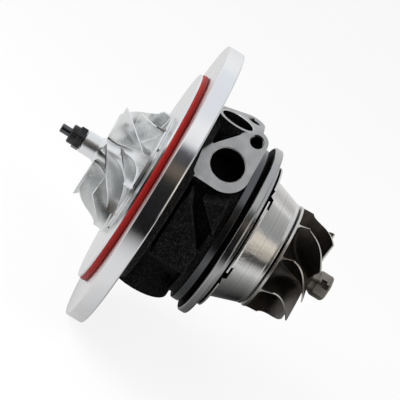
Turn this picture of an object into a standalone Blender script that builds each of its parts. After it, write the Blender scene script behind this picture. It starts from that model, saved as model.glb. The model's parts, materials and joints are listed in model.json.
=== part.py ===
"""Turbocharger cartridge: the bearing housing with its rotor, back plate and heat shield.

+X runs along the rotor axis from the compressor to the turbine, and +Z points out of the oil feed pad. The
origin is on the axis, in the plane of the V-band flange's turbine face. The rotor, with both wheels on one
shaft, turns about the X axis, and two floating bushes turn between the shaft and the housing.
"""

import math

import bmesh
import bpy
from mathutils import Matrix, Vector

MM = 0.001
DEG = math.pi / 180

# Gaps between pieces
SEAT_GAP = 0.3 * MM
RING_GAP = 0.1 * MM
BEARING_CLEARANCE = 0.07 * MM
ROTOR_CLEARANCE = 0.3 * MM
SEAL_CLEARANCE = 0.2 * MM
SUNK = 1.0 * MM
MERGE = 0.002 * MM

# Facets of round pieces
FINE_SIDES = 40
ROUND_SIDES = 30
SMALL_SIDES = 16

# V-band flange of the bearing housing, at the turbine end
VBAND_RADIUS = 39.5 * MM
VBAND_THICKNESS = 3.3 * MM
VBAND_BEVEL = 0.7 * MM
GROOVE_WIDTH = 3.0 * MM
GROOVE_RADIUS = 33.0 * MM
LAND_WIDTH = 2.5 * MM
LAND_RADIUS = 36.5 * MM
SPIGOT_RADIUS = 33.4 * MM
SPIGOT_LENGTH = 2.2 * MM

# Cast body of the bearing housing
HOUSING_LENGTH = 34.65 * MM
CAST_DISC_RADIUS = 34.5 * MM
WAIST_RADIUS = 28.5 * MM
CAST_DISC_THICKNESS = 3.2 * MM
CAST_FLANGE_RADIUS = 44.0 * MM
CAST_FLANGE_THICKNESS = 5.0 * MM
CAST_FILLET = 2.0 * MM
NOSE_RADIUS = 13.5 * MM
NOSE_LENGTH = 15.5 * MM
NOSE_ROOT_RADIUS = 24.0 * MM
NOSE_ROOT_LENGTH = 4.5 * MM

# Coolant pads: one faces 45 degrees up on each side, and the far one is turned half a turn
COOLANT_PAD_TILT = 45 * DEG
COOLANT_PAD_HEIGHT = 36.0 * MM
COOLANT_PORT_X = -19.5 * MM
COOLANT_PORT_OFFSET = 7.0 * MM
COOLANT_PORT_RADIUS = 7.4 * MM
COOLANT_PORT_DEPTH = 11.4 * MM
COOLANT_PORT_WALL = 3.0 * MM
COOLANT_CORNER_RADIUS = 2.0 * MM
COOLANT_CORNER_X = -9.6 * MM
COOLANT_CORNER_Y = -10.5 * MM
COOLANT_BOLT_X = 6.0 * MM
COOLANT_BOLT_Y = 15.9 * MM
COOLANT_BOLT_WALL = 2.3 * MM
COOLANT_SHOULDER_X = -5.0 * MM
COOLANT_SHOULDER_Y = 4.0 * MM
COOLANT_SHOULDER_RADIUS = 6.0 * MM

# Oil feed pad, on top
FEED_PAD_HEIGHT = 42.7 * MM
FEED_PORT_X = -24.0 * MM
FEED_PORT_RADIUS = 7.2 * MM
FEED_PORT_DEPTH = 13.0 * MM
FEED_PORT_WALL = 2.6 * MM
FEED_BOLT_X = 7.0 * MM
FEED_BOLT_Y = 11.3 * MM
FEED_BOLT_WALL = 2.4 * MM
FEED_HEEL_X = 9.5 * MM
FEED_HEEL_Y = 3.0 * MM
FEED_HEEL_RADIUS = 2.5 * MM
FEED_DRILLING_RADIUS = 2.0 * MM

# Tapped holes in the pads, and the draft of the cast walls under them
TAPPED_HOLE_RADIUS = 2.6 * MM
TAPPED_HOLE_DEPTH = 13.0 * MM
TAPPED_CHAMFER = 0.6 * MM
PAD_DRAFT = 1.06
PAD_LIP = 1.2 * MM
PAD_MILLED_BORDER = 0.5 * MM

# Oil drain boss, underneath
DRAIN_X = -24.4 * MM
DRAIN_HEIGHT = 38.9 * MM
DRAIN_BOSS_RADIUS = 15.0 * MM
DRAIN_BORE_RADIUS = 7.8 * MM
DRAIN_THREAD_DEPTH = 13.0 * MM
DRAIN_PASSAGE_RADIUS = 3.8 * MM
DRAIN_PASSAGE_X = -8.3 * MM
FRONT_DRAIN_RADIUS = 2.2 * MM
FRONT_DRAIN_X = -29.0 * MM

# Coolant passage over the bearings, from port to port
COOLANT_PASSAGE_X = (-17.5 * MM, -12.5 * MM)
COOLANT_PASSAGE_RADII = (18.0 * MM, 26.0 * MM)
COOLANT_PASSAGE_HALF_ANGLE = 38 * DEG

# Raised side panels and webs of the casting
PANEL_HEIGHT = 36.4 * MM
PANEL_OUTLINE = (
    (-29.8 * MM, -5.4 * MM),
    (-28.8 * MM, -13.9 * MM),
    (-13.2 * MM, -15.7 * MM),
    (-13.5 * MM, -1.6 * MM),
    (-26.2 * MM, 15.4 * MM),
)
WEB_HEIGHT = 36.1 * MM
WEB_OUTLINE = (
    (-11.2 * MM, 5.5 * MM),
    (-12.6 * MM, 20.6 * MM),
    (-23.6 * MM, 16.0 * MM),
)

# Rotor shaft and its floating bushes
JOURNAL_RADIUS = 4.0 * MM
BUSH_BORE_RADIUS = 7.0 * MM
BUSH_LENGTH = 6.0 * MM
BUSH_OIL_HOLES = 6
BUSH_OIL_HOLE_RADIUS = 0.9 * MM
TURBINE_BUSH_X = 2.0 * MM
COMPRESSOR_BUSH_X = -20.6 * MM
SNAP_RING_WIDTH = 1.0 * MM
SNAP_RING_DEPTH = 0.8 * MM
SNAP_RING_HEIGHT = 1.5 * MM
RELIEF_RADIUS = 8.4 * MM
SHAFT_HUB_RADIUS = 8.0 * MM
SHAFT_HUB_START = 7.0 * MM
SEAL_RING_WIDTH = 1.3 * MM
SEAL_RING_HEIGHT = 1.5 * MM
TURBINE_SEAL_X = 10.3 * MM
SPINDLE_RADIUS = 2.75 * MM
STUB_RADIUS = 1.95 * MM

# Thrust bearing and oil control parts, in the housing's front recess
RECESS_RADIUS = 17.8 * MM
RECESS_DEPTH = 8.0 * MM
COLLAR_POCKET_RADIUS = 10.2 * MM
COLLAR_POCKET_DEPTH = 2.75 * MM
THRUST_RADIUS = 17.5 * MM
THRUST_THICKNESS = 3.9 * MM
THRUST_PADS = 6
COLLAR_RADIUS = 9.5 * MM
COLLAR_THICKNESS = 2.2 * MM
SLEEVE_RADIUS = 6.0 * MM
WASHER_THICKNESS = 2.0 * MM
DOWEL_RADIUS = 1.25 * MM
DOWEL_CIRCLE_RADIUS = 13.6 * MM
DOWEL_LENGTH = 8.0 * MM
DEFLECTOR_RADIUS = 17.4 * MM
DEFLECTOR_HOLE_RADIUS = 10.2 * MM
DEFLECTOR_THICKNESS = 1.0 * MM
FLINGER_DISC_RADIUS = 12.0 * MM
FLINGER_DISC_THICKNESS = 2.0 * MM
FLINGER_RADIUS = 8.2 * MM
COMPRESSOR_SEAL_X = -42.0 * MM

# Compressor back plate and its seals
PLATE_RADIUS = 65.0 * MM
PLATE_THICKNESS = 7.5 * MM
PLATE_CHAMFER = 0.6 * MM
PILOT_RADIUS = 48.9 * MM
PILOT_LENGTH = 3.75 * MM
PILOT_LIP = 0.9 * MM
O_RING_GROOVE_DEPTH = 2.0 * MM
O_RING_SECTION_RADIUS = 1.2 * MM
FOOT_RELIEF_RADIUS = 50.6 * MM
FOOT_RELIEF_DEPTH = 0.25 * MM
SPIGOT_CLEARANCE = 0.3 * MM
PLATE_SPIGOT_LENGTH = 2.5 * MM
FACE_SEAL_RADIUS = 30.6 * MM
FACE_SEAL_SECTION_RADIUS = 0.8 * MM
FACE_GROOVE_DEPTH = 1.6 * MM
FACE_GROOVE_WIDTH = 2.2 * MM
SLINGER_POCKET_RADIUS = 13.0 * MM
SLINGER_POCKET_DEPTH = 6.2 * MM
SCREW_COUNT = 4
SCREW_CIRCLE_RADIUS = 23.2 * MM
SCREW_RADIUS = 2.5 * MM
SCREW_HEAD_RADIUS = 4.5 * MM
SCREW_HEAD_DEPTH = 3.0 * MM
SCREW_LENGTH = 20.0 * MM
SCREW_SOCKET_RADIUS = 2.2 * MM
SCREW_SOCKET_DEPTH = 2.0 * MM
SCREW_BOSS_INSET = 0.2 * MM

# Heat shield, pressed from sheet
SHIELD_THICKNESS = 0.8 * MM
SHIELD_START_RADIUS = 28.0 * MM
SHIELD_END_RADIUS = 24.0 * MM
SHIELD_END_X = 17.5 * MM
SHIELD_RIM_RADIUS = 33.4 * MM
SHIELD_HOLE_RADIUS = 11.0 * MM
SHIELD_ROLL = 0.9 * MM
SHIELD_NOTCHES = 5
SHIELD_NOTCH_WIDTH = 6.5 * MM
SHIELD_NOTCH_LENGTH = 2.8 * MM

# Blades of both wheels: rows along the flow, columns from hub to tip, and how far the root is sunk
BLADE_END_INSET = 0.004
BLADE_COLUMNS = 4
COMPRESSOR_BLADE_ROWS = 8
COMPRESSOR_ROOT_SPAN = -0.11
SPLITTER_ROWS = 6
TURBINE_BLADE_ROWS = 8
TURBINE_ROOT_SPAN = -0.15

# Turbine wheel
TURBINE_BLADES = 9
TURBINE_RADIUS = 24.1 * MM
TURBINE_BACK_X = 18.4 * MM
TURBINE_RIM_THICKNESS = 1.1 * MM
TURBINE_TIP_WIDTH = 6.2 * MM
TURBINE_EXDUCER_RADIUS = 21.5 * MM
TURBINE_EXIT_X = 36.8 * MM
TURBINE_HUB_RADIUS = 5.6 * MM
TURBINE_BACK_DISH = 1.6 * MM
TURBINE_BOSS_RADIUS = 5.9 * MM
TURBINE_BOSS_END_X = 46.4 * MM
TURBINE_BLADE_TIP = 0.8 * MM
TURBINE_BLADE_ROOT = 2.2 * MM
TURBINE_WRAP = 31 * DEG
TURBINE_LEAN = -4 * DEG
TURBINE_PHASE = 158.2 * DEG
BALANCE_CUT_X = 42.7 * MM
BALANCE_CUT_ANGLE = 55 * DEG
BALANCE_CUT_SIZE = 2.6 * MM
BALANCE_CUT_DEPTH = 1.3 * MM

# Compressor wheel
COMPRESSOR_BLADES = 6
COMPRESSOR_RADIUS = 28.2 * MM
COMPRESSOR_INDUCER_RADIUS = 22.5 * MM
COMPRESSOR_TIP_WIDTH = 3.8 * MM
COMPRESSOR_DISC_THICKNESS = 1.0 * MM
COMPRESSOR_BACK_GAP = 0.6 * MM
COMPRESSOR_INLET_DEPTH = 17.7 * MM
COMPRESSOR_NOSE_RADIUS = 5.1 * MM
COMPRESSOR_NOSE_LENGTH = 7.8 * MM
COMPRESSOR_HUB_RADIUS = 6.1 * MM
COMPRESSOR_BLADE_TIP = 0.55 * MM
COMPRESSOR_BLADE_ROOT = 1.3 * MM
COMPRESSOR_WRAP = 54 * DEG
SPLITTER_START = 0.284
COMPRESSOR_PHASE = 151.2 * DEG

# Compressor nut and the shaft's end stub
NUT_FLATS = 9.2 * MM
NUT_THICKNESS = 3.2 * MM
NUT_COLLAR_FLATS = 8.2 * MM
NUT_COLLAR_LENGTH = 2.9 * MM
NUT_CHAMFER = 0.4 * MM
STUB_LENGTH = 4.4 * MM

# Places worked out from the sizes above
HOUSING_FRONT_X = -HOUSING_LENGTH
RECESS_FLOOR_X = HOUSING_FRONT_X + RECESS_DEPTH
PLATE_BACK_X = HOUSING_FRONT_X - SEAT_GAP
PLATE_FRONT_X = PLATE_BACK_X - PLATE_THICKNESS
PILOT_X = PLATE_FRONT_X - PILOT_LENGTH
GROOVE_X = -VBAND_THICKNESS - GROOVE_WIDTH
LAND_X = GROOVE_X - LAND_WIDTH
THRUST_BACK_X = RECESS_FLOOR_X - SEAT_GAP
THRUST_FRONT_X = THRUST_BACK_X - THRUST_THICKNESS
DEFLECTOR_BACK_X = THRUST_FRONT_X - SEAT_GAP
DEFLECTOR_FRONT_X = DEFLECTOR_BACK_X - DEFLECTOR_THICKNESS
COLLAR_FACE_X = THRUST_BACK_X + ROTOR_CLEARANCE
COLLAR_FRONT_X = THRUST_FRONT_X - ROTOR_CLEARANCE
WASHER_FRONT_X = COLLAR_FRONT_X - SEAT_GAP - WASHER_THICKNESS
FLINGER_BACK_X = WASHER_FRONT_X - SEAT_GAP
WHEEL_BACK_X = PILOT_X - COMPRESSOR_BACK_GAP
FLINGER_FRONT_X = WHEEL_BACK_X + SEAT_GAP
WHEEL_DISC_X = WHEEL_BACK_X - COMPRESSOR_DISC_THICKNESS
WHEEL_INLET_X = WHEEL_DISC_X - COMPRESSOR_INLET_DEPTH
WHEEL_NOSE_X = WHEEL_INLET_X - COMPRESSOR_NOSE_LENGTH
NUT_BACK_X = WHEEL_NOSE_X - SEAT_GAP
NUT_FRONT_X = NUT_BACK_X - NUT_THICKNESS - NUT_COLLAR_LENGTH
SHAFT_END_X = NUT_FRONT_X - STUB_LENGTH
SHAFT_SHOULDER_X = COLLAR_FACE_X + COLLAR_THICKNESS + SEAT_GAP
SHAFT_WELD_X = TURBINE_BACK_X - SEAT_GAP


def clear_scene():
    for found in list(bpy.data.objects):
        bpy.data.objects.remove(found, do_unlink=True)


def make_material(name, colour, roughness, metallic):
    material = bpy.data.materials.new(name)
    material.use_nodes = True
    shader = material.node_tree.nodes["Principled BSDF"]
    shader.inputs["Base Color"].default_value = (*colour, 1.0)
    shader.inputs["Roughness"].default_value = roughness
    shader.inputs["Metallic"].default_value = metallic
    return material


def add_object(name, mesh_maker, material=None, parent=None):
    """Makes an object from a filled bmesh. Only pieces with a material are part of the model."""
    bmesh.ops.remove_doubles(mesh_maker, verts=mesh_maker.verts, dist=1e-7)
    bmesh.ops.recalc_face_normals(mesh_maker, faces=mesh_maker.faces)
    mesh = bpy.data.meshes.new(name)
    mesh_maker.to_mesh(mesh)
    mesh_maker.free()
    made = bpy.data.objects.new(name, mesh)
    bpy.context.scene.collection.objects.link(made)
    if material is None:
        made.hide_render = True
        made.display_type = "WIRE"
    else:
        mesh.materials.append(material)
    made.parent = parent
    return made


def smooth(made, angle=32):
    made.data.shade_smooth()
    made.data.set_sharp_from_angle(angle=angle * DEG)
    return made


def combine(target, tool, operation):
    """Joins or cuts a tool shape into the target, and removes the tool."""
    boolean = target.modifiers.new(operation.lower(), "BOOLEAN")
    boolean.operation = operation
    boolean.solver = "EXACT"
    boolean.object = tool
    graph = bpy.context.evaluated_depsgraph_get()
    result = bpy.data.meshes.new_from_object(target.evaluated_get(graph))
    target.modifiers.clear()
    maker = bmesh.new()
    maker.from_mesh(result)
    bmesh.ops.remove_doubles(maker, verts=maker.verts, dist=MERGE)
    bmesh.ops.dissolve_degenerate(maker, edges=maker.edges, dist=MERGE)
    maker.to_mesh(result)
    maker.free()
    old = target.data
    target.data = result
    bpy.data.meshes.remove(old)
    bpy.data.objects.remove(tool, do_unlink=True)
    return target


def cut(target, tool):
    return combine(target, tool, "DIFFERENCE")


def join(target, tool):
    return combine(target, tool, "UNION")


def revolve(name, profile, sides, material=None, parent=None, start=0.0, turn=math.tau):
    """Turns a closed outline of (x, radius) points round the X axis, once round or through part of a turn."""
    maker = bmesh.new()
    first = Matrix.Rotation(start, 3, "X")
    points = [maker.verts.new(first @ Vector((x, radius, 0.0))) for x, radius in profile]
    edges = [maker.edges.new(pair) for pair in zip(points, points[1:] + points[:1])]
    whole = math.isclose(turn, math.tau)
    spun = bmesh.ops.spin(
        maker,
        geom=points + edges,
        cent=(0, 0, 0),
        axis=(1, 0, 0),
        angle=turn,
        steps=sides,
        use_merge=whole,
    )
    if not whole:
        bmesh.ops.contextual_create(maker, geom=edges)
        last = [item for item in spun["geom_last"] if isinstance(item, bmesh.types.BMEdge)]
        bmesh.ops.contextual_create(maker, geom=last)
    bmesh.ops.remove_doubles(maker, verts=maker.verts, dist=1e-7)
    loose = [edge for edge in maker.edges if not edge.link_faces]
    bmesh.ops.delete(maker, geom=loose, context="EDGES")
    return add_object(name, maker, material, parent)


def axis_matrix(start, direction):
    """Places local +Z along the direction, from the start point."""
    turn = Vector(direction).to_track_quat("Z", "Y").to_matrix().to_4x4()
    return Matrix.Translation(start) @ turn


def rod(name, start, direction, radii_and_depths, sides=ROUND_SIDES):
    """A stepped or tapered round tool: (radius, distance along the direction) at each edge."""
    maker = bmesh.new()
    place = axis_matrix(start, direction)
    rings = []
    for radius, distance in radii_and_depths:
        ring = []
        for step in range(sides):
            angle = math.tau * (step + 0.5) / sides
            local = Vector((radius * math.cos(angle), radius * math.sin(angle), distance))
            ring.append(maker.verts.new(place @ local))
        rings.append(ring)
    for low, high in zip(rings, rings[1:]):
        for step in range(sides):
            after = (step + 1) % sides
            maker.faces.new((low[step], low[after], high[after], high[step]))
    maker.faces.new(rings[0])
    maker.faces.new(rings[-1])
    return add_object(name, maker)


def prism(name, outline, place, steps, centre=(0.0, 0.0)):
    """Builds a solid on a local XY outline: (distance along local Z, scale of the outline) at each level."""
    maker = bmesh.new()
    middle = Vector(centre)
    levels = []
    for distance, scale in steps:
        ring = []
        for point in outline:
            spread = middle + (Vector(point) - middle) * scale
            ring.append(maker.verts.new(place @ Vector((spread.x, spread.y, distance))))
        levels.append(ring)
    count = len(outline)
    for low, high in zip(levels, levels[1:]):
        for step in range(count):
            after = (step + 1) % count
            maker.faces.new((low[step], low[after], high[after], high[step]))
    maker.faces.new(levels[0])
    maker.faces.new(levels[-1])
    return add_object(name, maker)


def hull_of_circles(circles, sides=ROUND_SIDES):
    """The outline that a tight belt makes round several circles, each (x, y, radius)."""
    outline = []
    for step in range(sides):
        angle = math.tau * step / sides
        reach = Vector((math.cos(angle), math.sin(angle)))
        best = max(circles, key=lambda c: reach.x * c[0] + reach.y * c[1] + c[2])
        point = (best[0] + reach.x * best[2], best[1] + reach.y * best[2])
        if not outline or (Vector(point) - Vector(outline[-1])).length > 1e-6:
            outline.append(point)
    return outline


def pad_frame(normal, height):
    """A frame on a pad: local Z out of it, local X along the rotor axis."""
    out = Vector(normal).normalized()
    along = Vector((1, 0, 0))
    across = out.cross(along)
    turn = Matrix((along, across, out)).transposed().to_4x4()
    return Matrix.Translation(out * height) @ turn


def add_tapped_hole(housing, place, x, y):
    """A drilled hole with a chamfered mouth, square to a pad."""
    mouth = place @ Vector((x, y, SUNK))
    inward = -(place.to_3x3() @ Vector((0, 0, 1)))
    flare = TAPPED_HOLE_RADIUS + TAPPED_CHAMFER
    steps = (
        (flare, 0),
        (flare, SUNK),
        (TAPPED_HOLE_RADIUS, SUNK + TAPPED_CHAMFER),
        (TAPPED_HOLE_RADIUS, SUNK + TAPPED_HOLE_DEPTH),
    )
    return cut(housing, rod("tapped_hole", mouth, inward, steps, SMALL_SIDES))


def add_port(housing, place, x, y, radius, depth):
    mouth = place @ Vector((x, y, SUNK))
    inward = -(place.to_3x3() @ Vector((0, 0, 1)))
    return cut(housing, rod("port", mouth, inward, ((radius, 0), (radius, SUNK + depth))))


def add_pad(housing, place, circles, depth):
    """A cast boss with draft, and a milled face on it that clears a small border round it too."""
    steps = ((-depth, PAD_DRAFT), (-PAD_LIP, 1.0), (SUNK, 1.0))
    join(housing, prism("boss", hull_of_circles(circles), place, steps, circles[0][:2]))
    wide = [(x, y, radius + PAD_MILLED_BORDER) for x, y, radius in circles]
    steps = ((0.0, 1.0), (2 * SUNK, 1.0), (4 * SUNK, 1.0))
    return cut(housing, prism("pad_facing", hull_of_circles(wide), place, steps))


def coolant_pad_frame(side):
    normal = (0, side * math.sin(COOLANT_PAD_TILT), math.cos(COOLANT_PAD_TILT))
    return pad_frame(normal, COOLANT_PAD_HEIGHT)


def coolant_pad_circles(side):
    """The pad's outline. Its bolt lobe follows local Y, which runs up on the near side, down on the far."""
    port_y = -side * COOLANT_PORT_OFFSET
    return [
        (COOLANT_PORT_X, port_y, COOLANT_PORT_RADIUS + COOLANT_PORT_WALL),
        (COOLANT_PORT_X + COOLANT_BOLT_X, port_y + COOLANT_BOLT_Y, TAPPED_HOLE_RADIUS + COOLANT_BOLT_WALL),
        (COOLANT_PORT_X + COOLANT_CORNER_X, port_y + COOLANT_CORNER_Y, COOLANT_CORNER_RADIUS),
        (COOLANT_PORT_X + COOLANT_SHOULDER_X, port_y + COOLANT_SHOULDER_Y, COOLANT_SHOULDER_RADIUS),
    ]


def feed_pad_circles():
    return [
        (FEED_PORT_X, 0.0, FEED_PORT_RADIUS + FEED_PORT_WALL),
        (FEED_PORT_X + FEED_BOLT_X, FEED_BOLT_Y, TAPPED_HOLE_RADIUS + FEED_BOLT_WALL),
        (FEED_PORT_X + FEED_HEEL_X, FEED_HEEL_Y, FEED_HEEL_RADIUS),
    ]


def casting_profile():
    """The cast flange, waist and end disc up to the land, a little long at both ends for facing."""
    flange_end = HOUSING_FRONT_X + CAST_FLANGE_THICKNESS
    disc = LAND_X - CAST_DISC_THICKNESS
    return [
        (HOUSING_FRONT_X - SUNK, 0.0),
        (HOUSING_FRONT_X - SUNK, CAST_FLANGE_RADIUS),
        (flange_end - CAST_FILLET / 2, CAST_FLANGE_RADIUS),
        (flange_end, CAST_FLANGE_RADIUS - CAST_FILLET / 2),
        (flange_end, WAIST_RADIUS + CAST_FILLET),
        (flange_end + CAST_FILLET, WAIST_RADIUS),
        (disc - CAST_FILLET, WAIST_RADIUS),
        (disc, WAIST_RADIUS + CAST_FILLET),
        (disc, CAST_DISC_RADIUS),
        (LAND_X + SUNK, CAST_DISC_RADIUS),
        (LAND_X + SUNK, 0.0),
    ]


def turned_profile():
    """The turned turbine end: land, V groove, V-band rim, spigot and the nose behind the wheel."""
    rim = VBAND_RADIUS - VBAND_BEVEL
    return [
        (COMPRESSOR_BUSH_X, 0.0),
        (COMPRESSOR_BUSH_X, GROOVE_RADIUS / 2),
        (LAND_X - SEAT_GAP, GROOVE_RADIUS / 2),
        (LAND_X - SEAT_GAP, LAND_RADIUS - SEAT_GAP),
        (LAND_X, LAND_RADIUS),
        (GROOVE_X, LAND_RADIUS),
        (GROOVE_X, GROOVE_RADIUS),
        (-VBAND_THICKNESS, GROOVE_RADIUS),
        (-VBAND_THICKNESS, rim),
        (-VBAND_THICKNESS + VBAND_BEVEL, VBAND_RADIUS),
        (-VBAND_BEVEL, VBAND_RADIUS),
        (0.0, rim),
        (0.0, SPIGOT_RADIUS),
        (SPIGOT_LENGTH, SPIGOT_RADIUS),
        (SPIGOT_LENGTH, NOSE_ROOT_RADIUS),
        (NOSE_ROOT_LENGTH, NOSE_ROOT_RADIUS),
        (NOSE_LENGTH, NOSE_RADIUS),
        (NOSE_LENGTH, 0.0),
    ]


def bore_profile():
    """The stepped bore through the casting, as a solid tool."""
    over = SUNK
    bush_wall = BUSH_LENGTH / 2 + SEAT_GAP
    snap_out = bush_wall + SNAP_RING_WIDTH + 2 * RING_GAP
    groove = BUSH_BORE_RADIUS + SNAP_RING_DEPTH
    hub_bore = SHAFT_HUB_RADIUS + SEAL_CLEARANCE
    pocket = RECESS_FLOOR_X + COLLAR_POCKET_DEPTH
    outline = [
        (HOUSING_FRONT_X - over, 0.0),
        (HOUSING_FRONT_X - over, RECESS_RADIUS),
        (RECESS_FLOOR_X, RECESS_RADIUS),
        (RECESS_FLOOR_X, COLLAR_POCKET_RADIUS),
        (pocket, COLLAR_POCKET_RADIUS),
        (pocket, BUSH_BORE_RADIUS),
        (COMPRESSOR_BUSH_X + bush_wall, BUSH_BORE_RADIUS),
        (COMPRESSOR_BUSH_X + bush_wall, groove),
        (COMPRESSOR_BUSH_X + snap_out, groove),
        (COMPRESSOR_BUSH_X + snap_out, BUSH_BORE_RADIUS),
        (COMPRESSOR_BUSH_X + snap_out + SNAP_RING_WIDTH, BUSH_BORE_RADIUS),
        (COMPRESSOR_BUSH_X + snap_out + SNAP_RING_WIDTH, RELIEF_RADIUS),
        (TURBINE_BUSH_X - snap_out - SNAP_RING_WIDTH, RELIEF_RADIUS),
        (TURBINE_BUSH_X - snap_out - SNAP_RING_WIDTH, BUSH_BORE_RADIUS),
        (TURBINE_BUSH_X - snap_out, BUSH_BORE_RADIUS),
        (TURBINE_BUSH_X - snap_out, groove),
        (TURBINE_BUSH_X - bush_wall, groove),
        (TURBINE_BUSH_X - bush_wall, BUSH_BORE_RADIUS),
        (TURBINE_BUSH_X + bush_wall, BUSH_BORE_RADIUS),
        (TURBINE_BUSH_X + bush_wall, groove),
        (TURBINE_BUSH_X + snap_out, groove),
        (TURBINE_BUSH_X + snap_out, hub_bore),
        (NOSE_LENGTH + over, hub_bore),
        (NOSE_LENGTH + over, 0.0),
    ]
    return outline


def side_place(side):
    """A frame on the side of the casting: local X along the rotor, local Y up, local Z outwards."""
    along = Vector((1, 0, 0))
    up = Vector((0, 0, 1))
    out = Vector((0, side, 0))
    return Matrix((along, up, out)).transposed().to_4x4()


def feed_pad_frame():
    return pad_frame((0, 0, 1), FEED_PAD_HEIGHT)


def add_cast_forms(housing):
    """Everything that stands out of the round casting: pads, side panels, the near side's web, drain boss."""
    add_pad(housing, feed_pad_frame(), feed_pad_circles(), FEED_PAD_HEIGHT / 2)
    deep = WAIST_RADIUS / 2
    for side in (-1, 1):
        add_pad(housing, coolant_pad_frame(side), coolant_pad_circles(side), COOLANT_PAD_HEIGHT)
        join(housing, prism("panel", PANEL_OUTLINE, side_place(side), ((deep, 1.0), (PANEL_HEIGHT, 1.0))))
    join(housing, prism("web", WEB_OUTLINE, side_place(-1), ((deep, 1.0), (WEB_HEIGHT, 1.0))))
    return add_drain_boss(housing)


def add_drain_boss(housing):
    """The round boss underneath, and a milled face on it that clears the flange's rim too."""
    root = (DRAIN_X, 0, -WAIST_RADIUS / 2)
    steps = ((DRAIN_BOSS_RADIUS, 0), (DRAIN_BOSS_RADIUS, DRAIN_HEIGHT + SUNK - WAIST_RADIUS / 2))
    join(housing, rod("drain_boss", root, (0, 0, -1), steps))
    wide = DRAIN_BOSS_RADIUS + PAD_MILLED_BORDER
    steps = ((wide, 0), (wide, CAST_FLANGE_RADIUS))
    return cut(housing, rod("drain_facing", (DRAIN_X, 0, -DRAIN_HEIGHT), (0, 0, -1), steps))


def cut_coolant_port(housing, side):
    place = coolant_pad_frame(side)
    port_y = -side * COOLANT_PORT_OFFSET
    add_port(housing, place, COOLANT_PORT_X, port_y, COOLANT_PORT_RADIUS, COOLANT_PORT_DEPTH)
    return add_tapped_hole(housing, place, COOLANT_PORT_X + COOLANT_BOLT_X, port_y + COOLANT_BOLT_Y)


def cut_feed_port(housing):
    """The feed port, its bolt hole, and the drilling down to the compressor end's bush."""
    place = feed_pad_frame()
    add_port(housing, place, FEED_PORT_X, 0.0, FEED_PORT_RADIUS, FEED_PORT_DEPTH)
    add_tapped_hole(housing, place, FEED_PORT_X + FEED_BOLT_X, FEED_BOLT_Y)
    floor = Vector((COMPRESSOR_BUSH_X, 0, FEED_PAD_HEIGHT - FEED_PORT_DEPTH + SUNK))
    drop = floor.z - BUSH_BORE_RADIUS + SUNK
    steps = ((FEED_DRILLING_RADIUS, 0), (FEED_DRILLING_RADIUS, drop))
    return cut(housing, rod("feed_drilling", floor, (0, 0, -1), steps, SMALL_SIDES))


def cut_drain_bore(housing):
    mouth = (DRAIN_X, 0, -DRAIN_HEIGHT - SUNK)
    steps = ((DRAIN_BORE_RADIUS, 0), (DRAIN_BORE_RADIUS, SUNK + DRAIN_THREAD_DEPTH))
    return cut(housing, rod("drain_bore", mouth, (0, 0, 1), steps))


def cut_drain_passages(housing):
    """One slanted passage down from between the bearings, and one drilling down from the front recess."""
    low = Vector((DRAIN_X, 0, -DRAIN_HEIGHT + DRAIN_THREAD_DEPTH - 2 * SUNK))
    high = Vector((DRAIN_PASSAGE_X, 0, -RELIEF_RADIUS / 2))
    way = high - low
    steps = ((DRAIN_PASSAGE_RADIUS, 0), (DRAIN_PASSAGE_RADIUS, way.length))
    cut(housing, rod("drain_passage", low, way, steps, SMALL_SIDES))
    start = (FRONT_DRAIN_X, 0, -RECESS_RADIUS + 2 * SUNK)
    deep = DRAIN_HEIGHT - DRAIN_THREAD_DEPTH - RECESS_RADIUS + 4 * SUNK
    steps = ((FRONT_DRAIN_RADIUS, 0), (FRONT_DRAIN_RADIUS, deep))
    return cut(housing, rod("front_drain", start, (0, 0, -1), steps, SMALL_SIDES))


def cut_coolant_passage(housing):
    """A cored arc over the bearings that joins the two coolant ports."""
    low, high = COOLANT_PASSAGE_X
    inner, outer = COOLANT_PASSAGE_RADII
    profile = [(low, inner), (low, outer), (high, outer), (high, inner)]
    start = math.pi / 2 - COOLANT_PASSAGE_HALF_ANGLE
    turn = 2 * COOLANT_PASSAGE_HALF_ANGLE
    return cut(housing, revolve("coolant_passage", profile, SMALL_SIDES, None, None, start, turn))


def screw_places():
    places = []
    for index in range(SCREW_COUNT):
        angle = math.tau * (index + 0.5) / SCREW_COUNT
        places.append((SCREW_CIRCLE_RADIUS * math.cos(angle), SCREW_CIRCLE_RADIUS * math.sin(angle)))
    return places


def dowel_places():
    return [(side * DOWEL_CIRCLE_RADIUS, 0.0) for side in (-1, 1)]


def facing_tool(name, x, reach):
    """A disc that clears everything from a plane at x, over the reach."""
    wide = FEED_PAD_HEIGHT + CAST_DISC_RADIUS
    steps = ((wide, 0), (wide, abs(reach)))
    return rod(name, (x, 0, 0), (math.copysign(1, reach), 0, 0), steps, SMALL_SIDES)


def make_housing(material):
    housing = revolve("bearing_housing", casting_profile(), FINE_SIDES, material)
    add_cast_forms(housing)
    cut(housing, facing_tool("front_facing", HOUSING_FRONT_X, -CAST_DISC_RADIUS))
    cut(housing, facing_tool("land_facing", LAND_X - SEAT_GAP / 2, CAST_DISC_RADIUS))
    join(housing, revolve("turned_end", turned_profile(), FINE_SIDES))
    cut(housing, revolve("bore", bore_profile(), ROUND_SIDES))
    cut_feed_port(housing)
    for side in (-1, 1):
        cut_coolant_port(housing, side)
    cut_drain_bore(housing)
    cut_coolant_passage(housing)
    cut_drain_passages(housing)
    cut_face_groove(housing)
    cut_front_holes(housing)
    return smooth(housing)


def cut_face_groove(housing):
    """The seal groove in the front face."""
    inner = FACE_SEAL_RADIUS - FACE_GROOVE_WIDTH / 2
    outer = FACE_SEAL_RADIUS + FACE_GROOVE_WIDTH / 2
    low = HOUSING_FRONT_X - SUNK
    high = HOUSING_FRONT_X + FACE_GROOVE_DEPTH
    profile = [(low, inner), (low, outer), (high, outer), (high, inner)]
    return cut(housing, revolve("face_groove", profile, FINE_SIDES))


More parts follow.
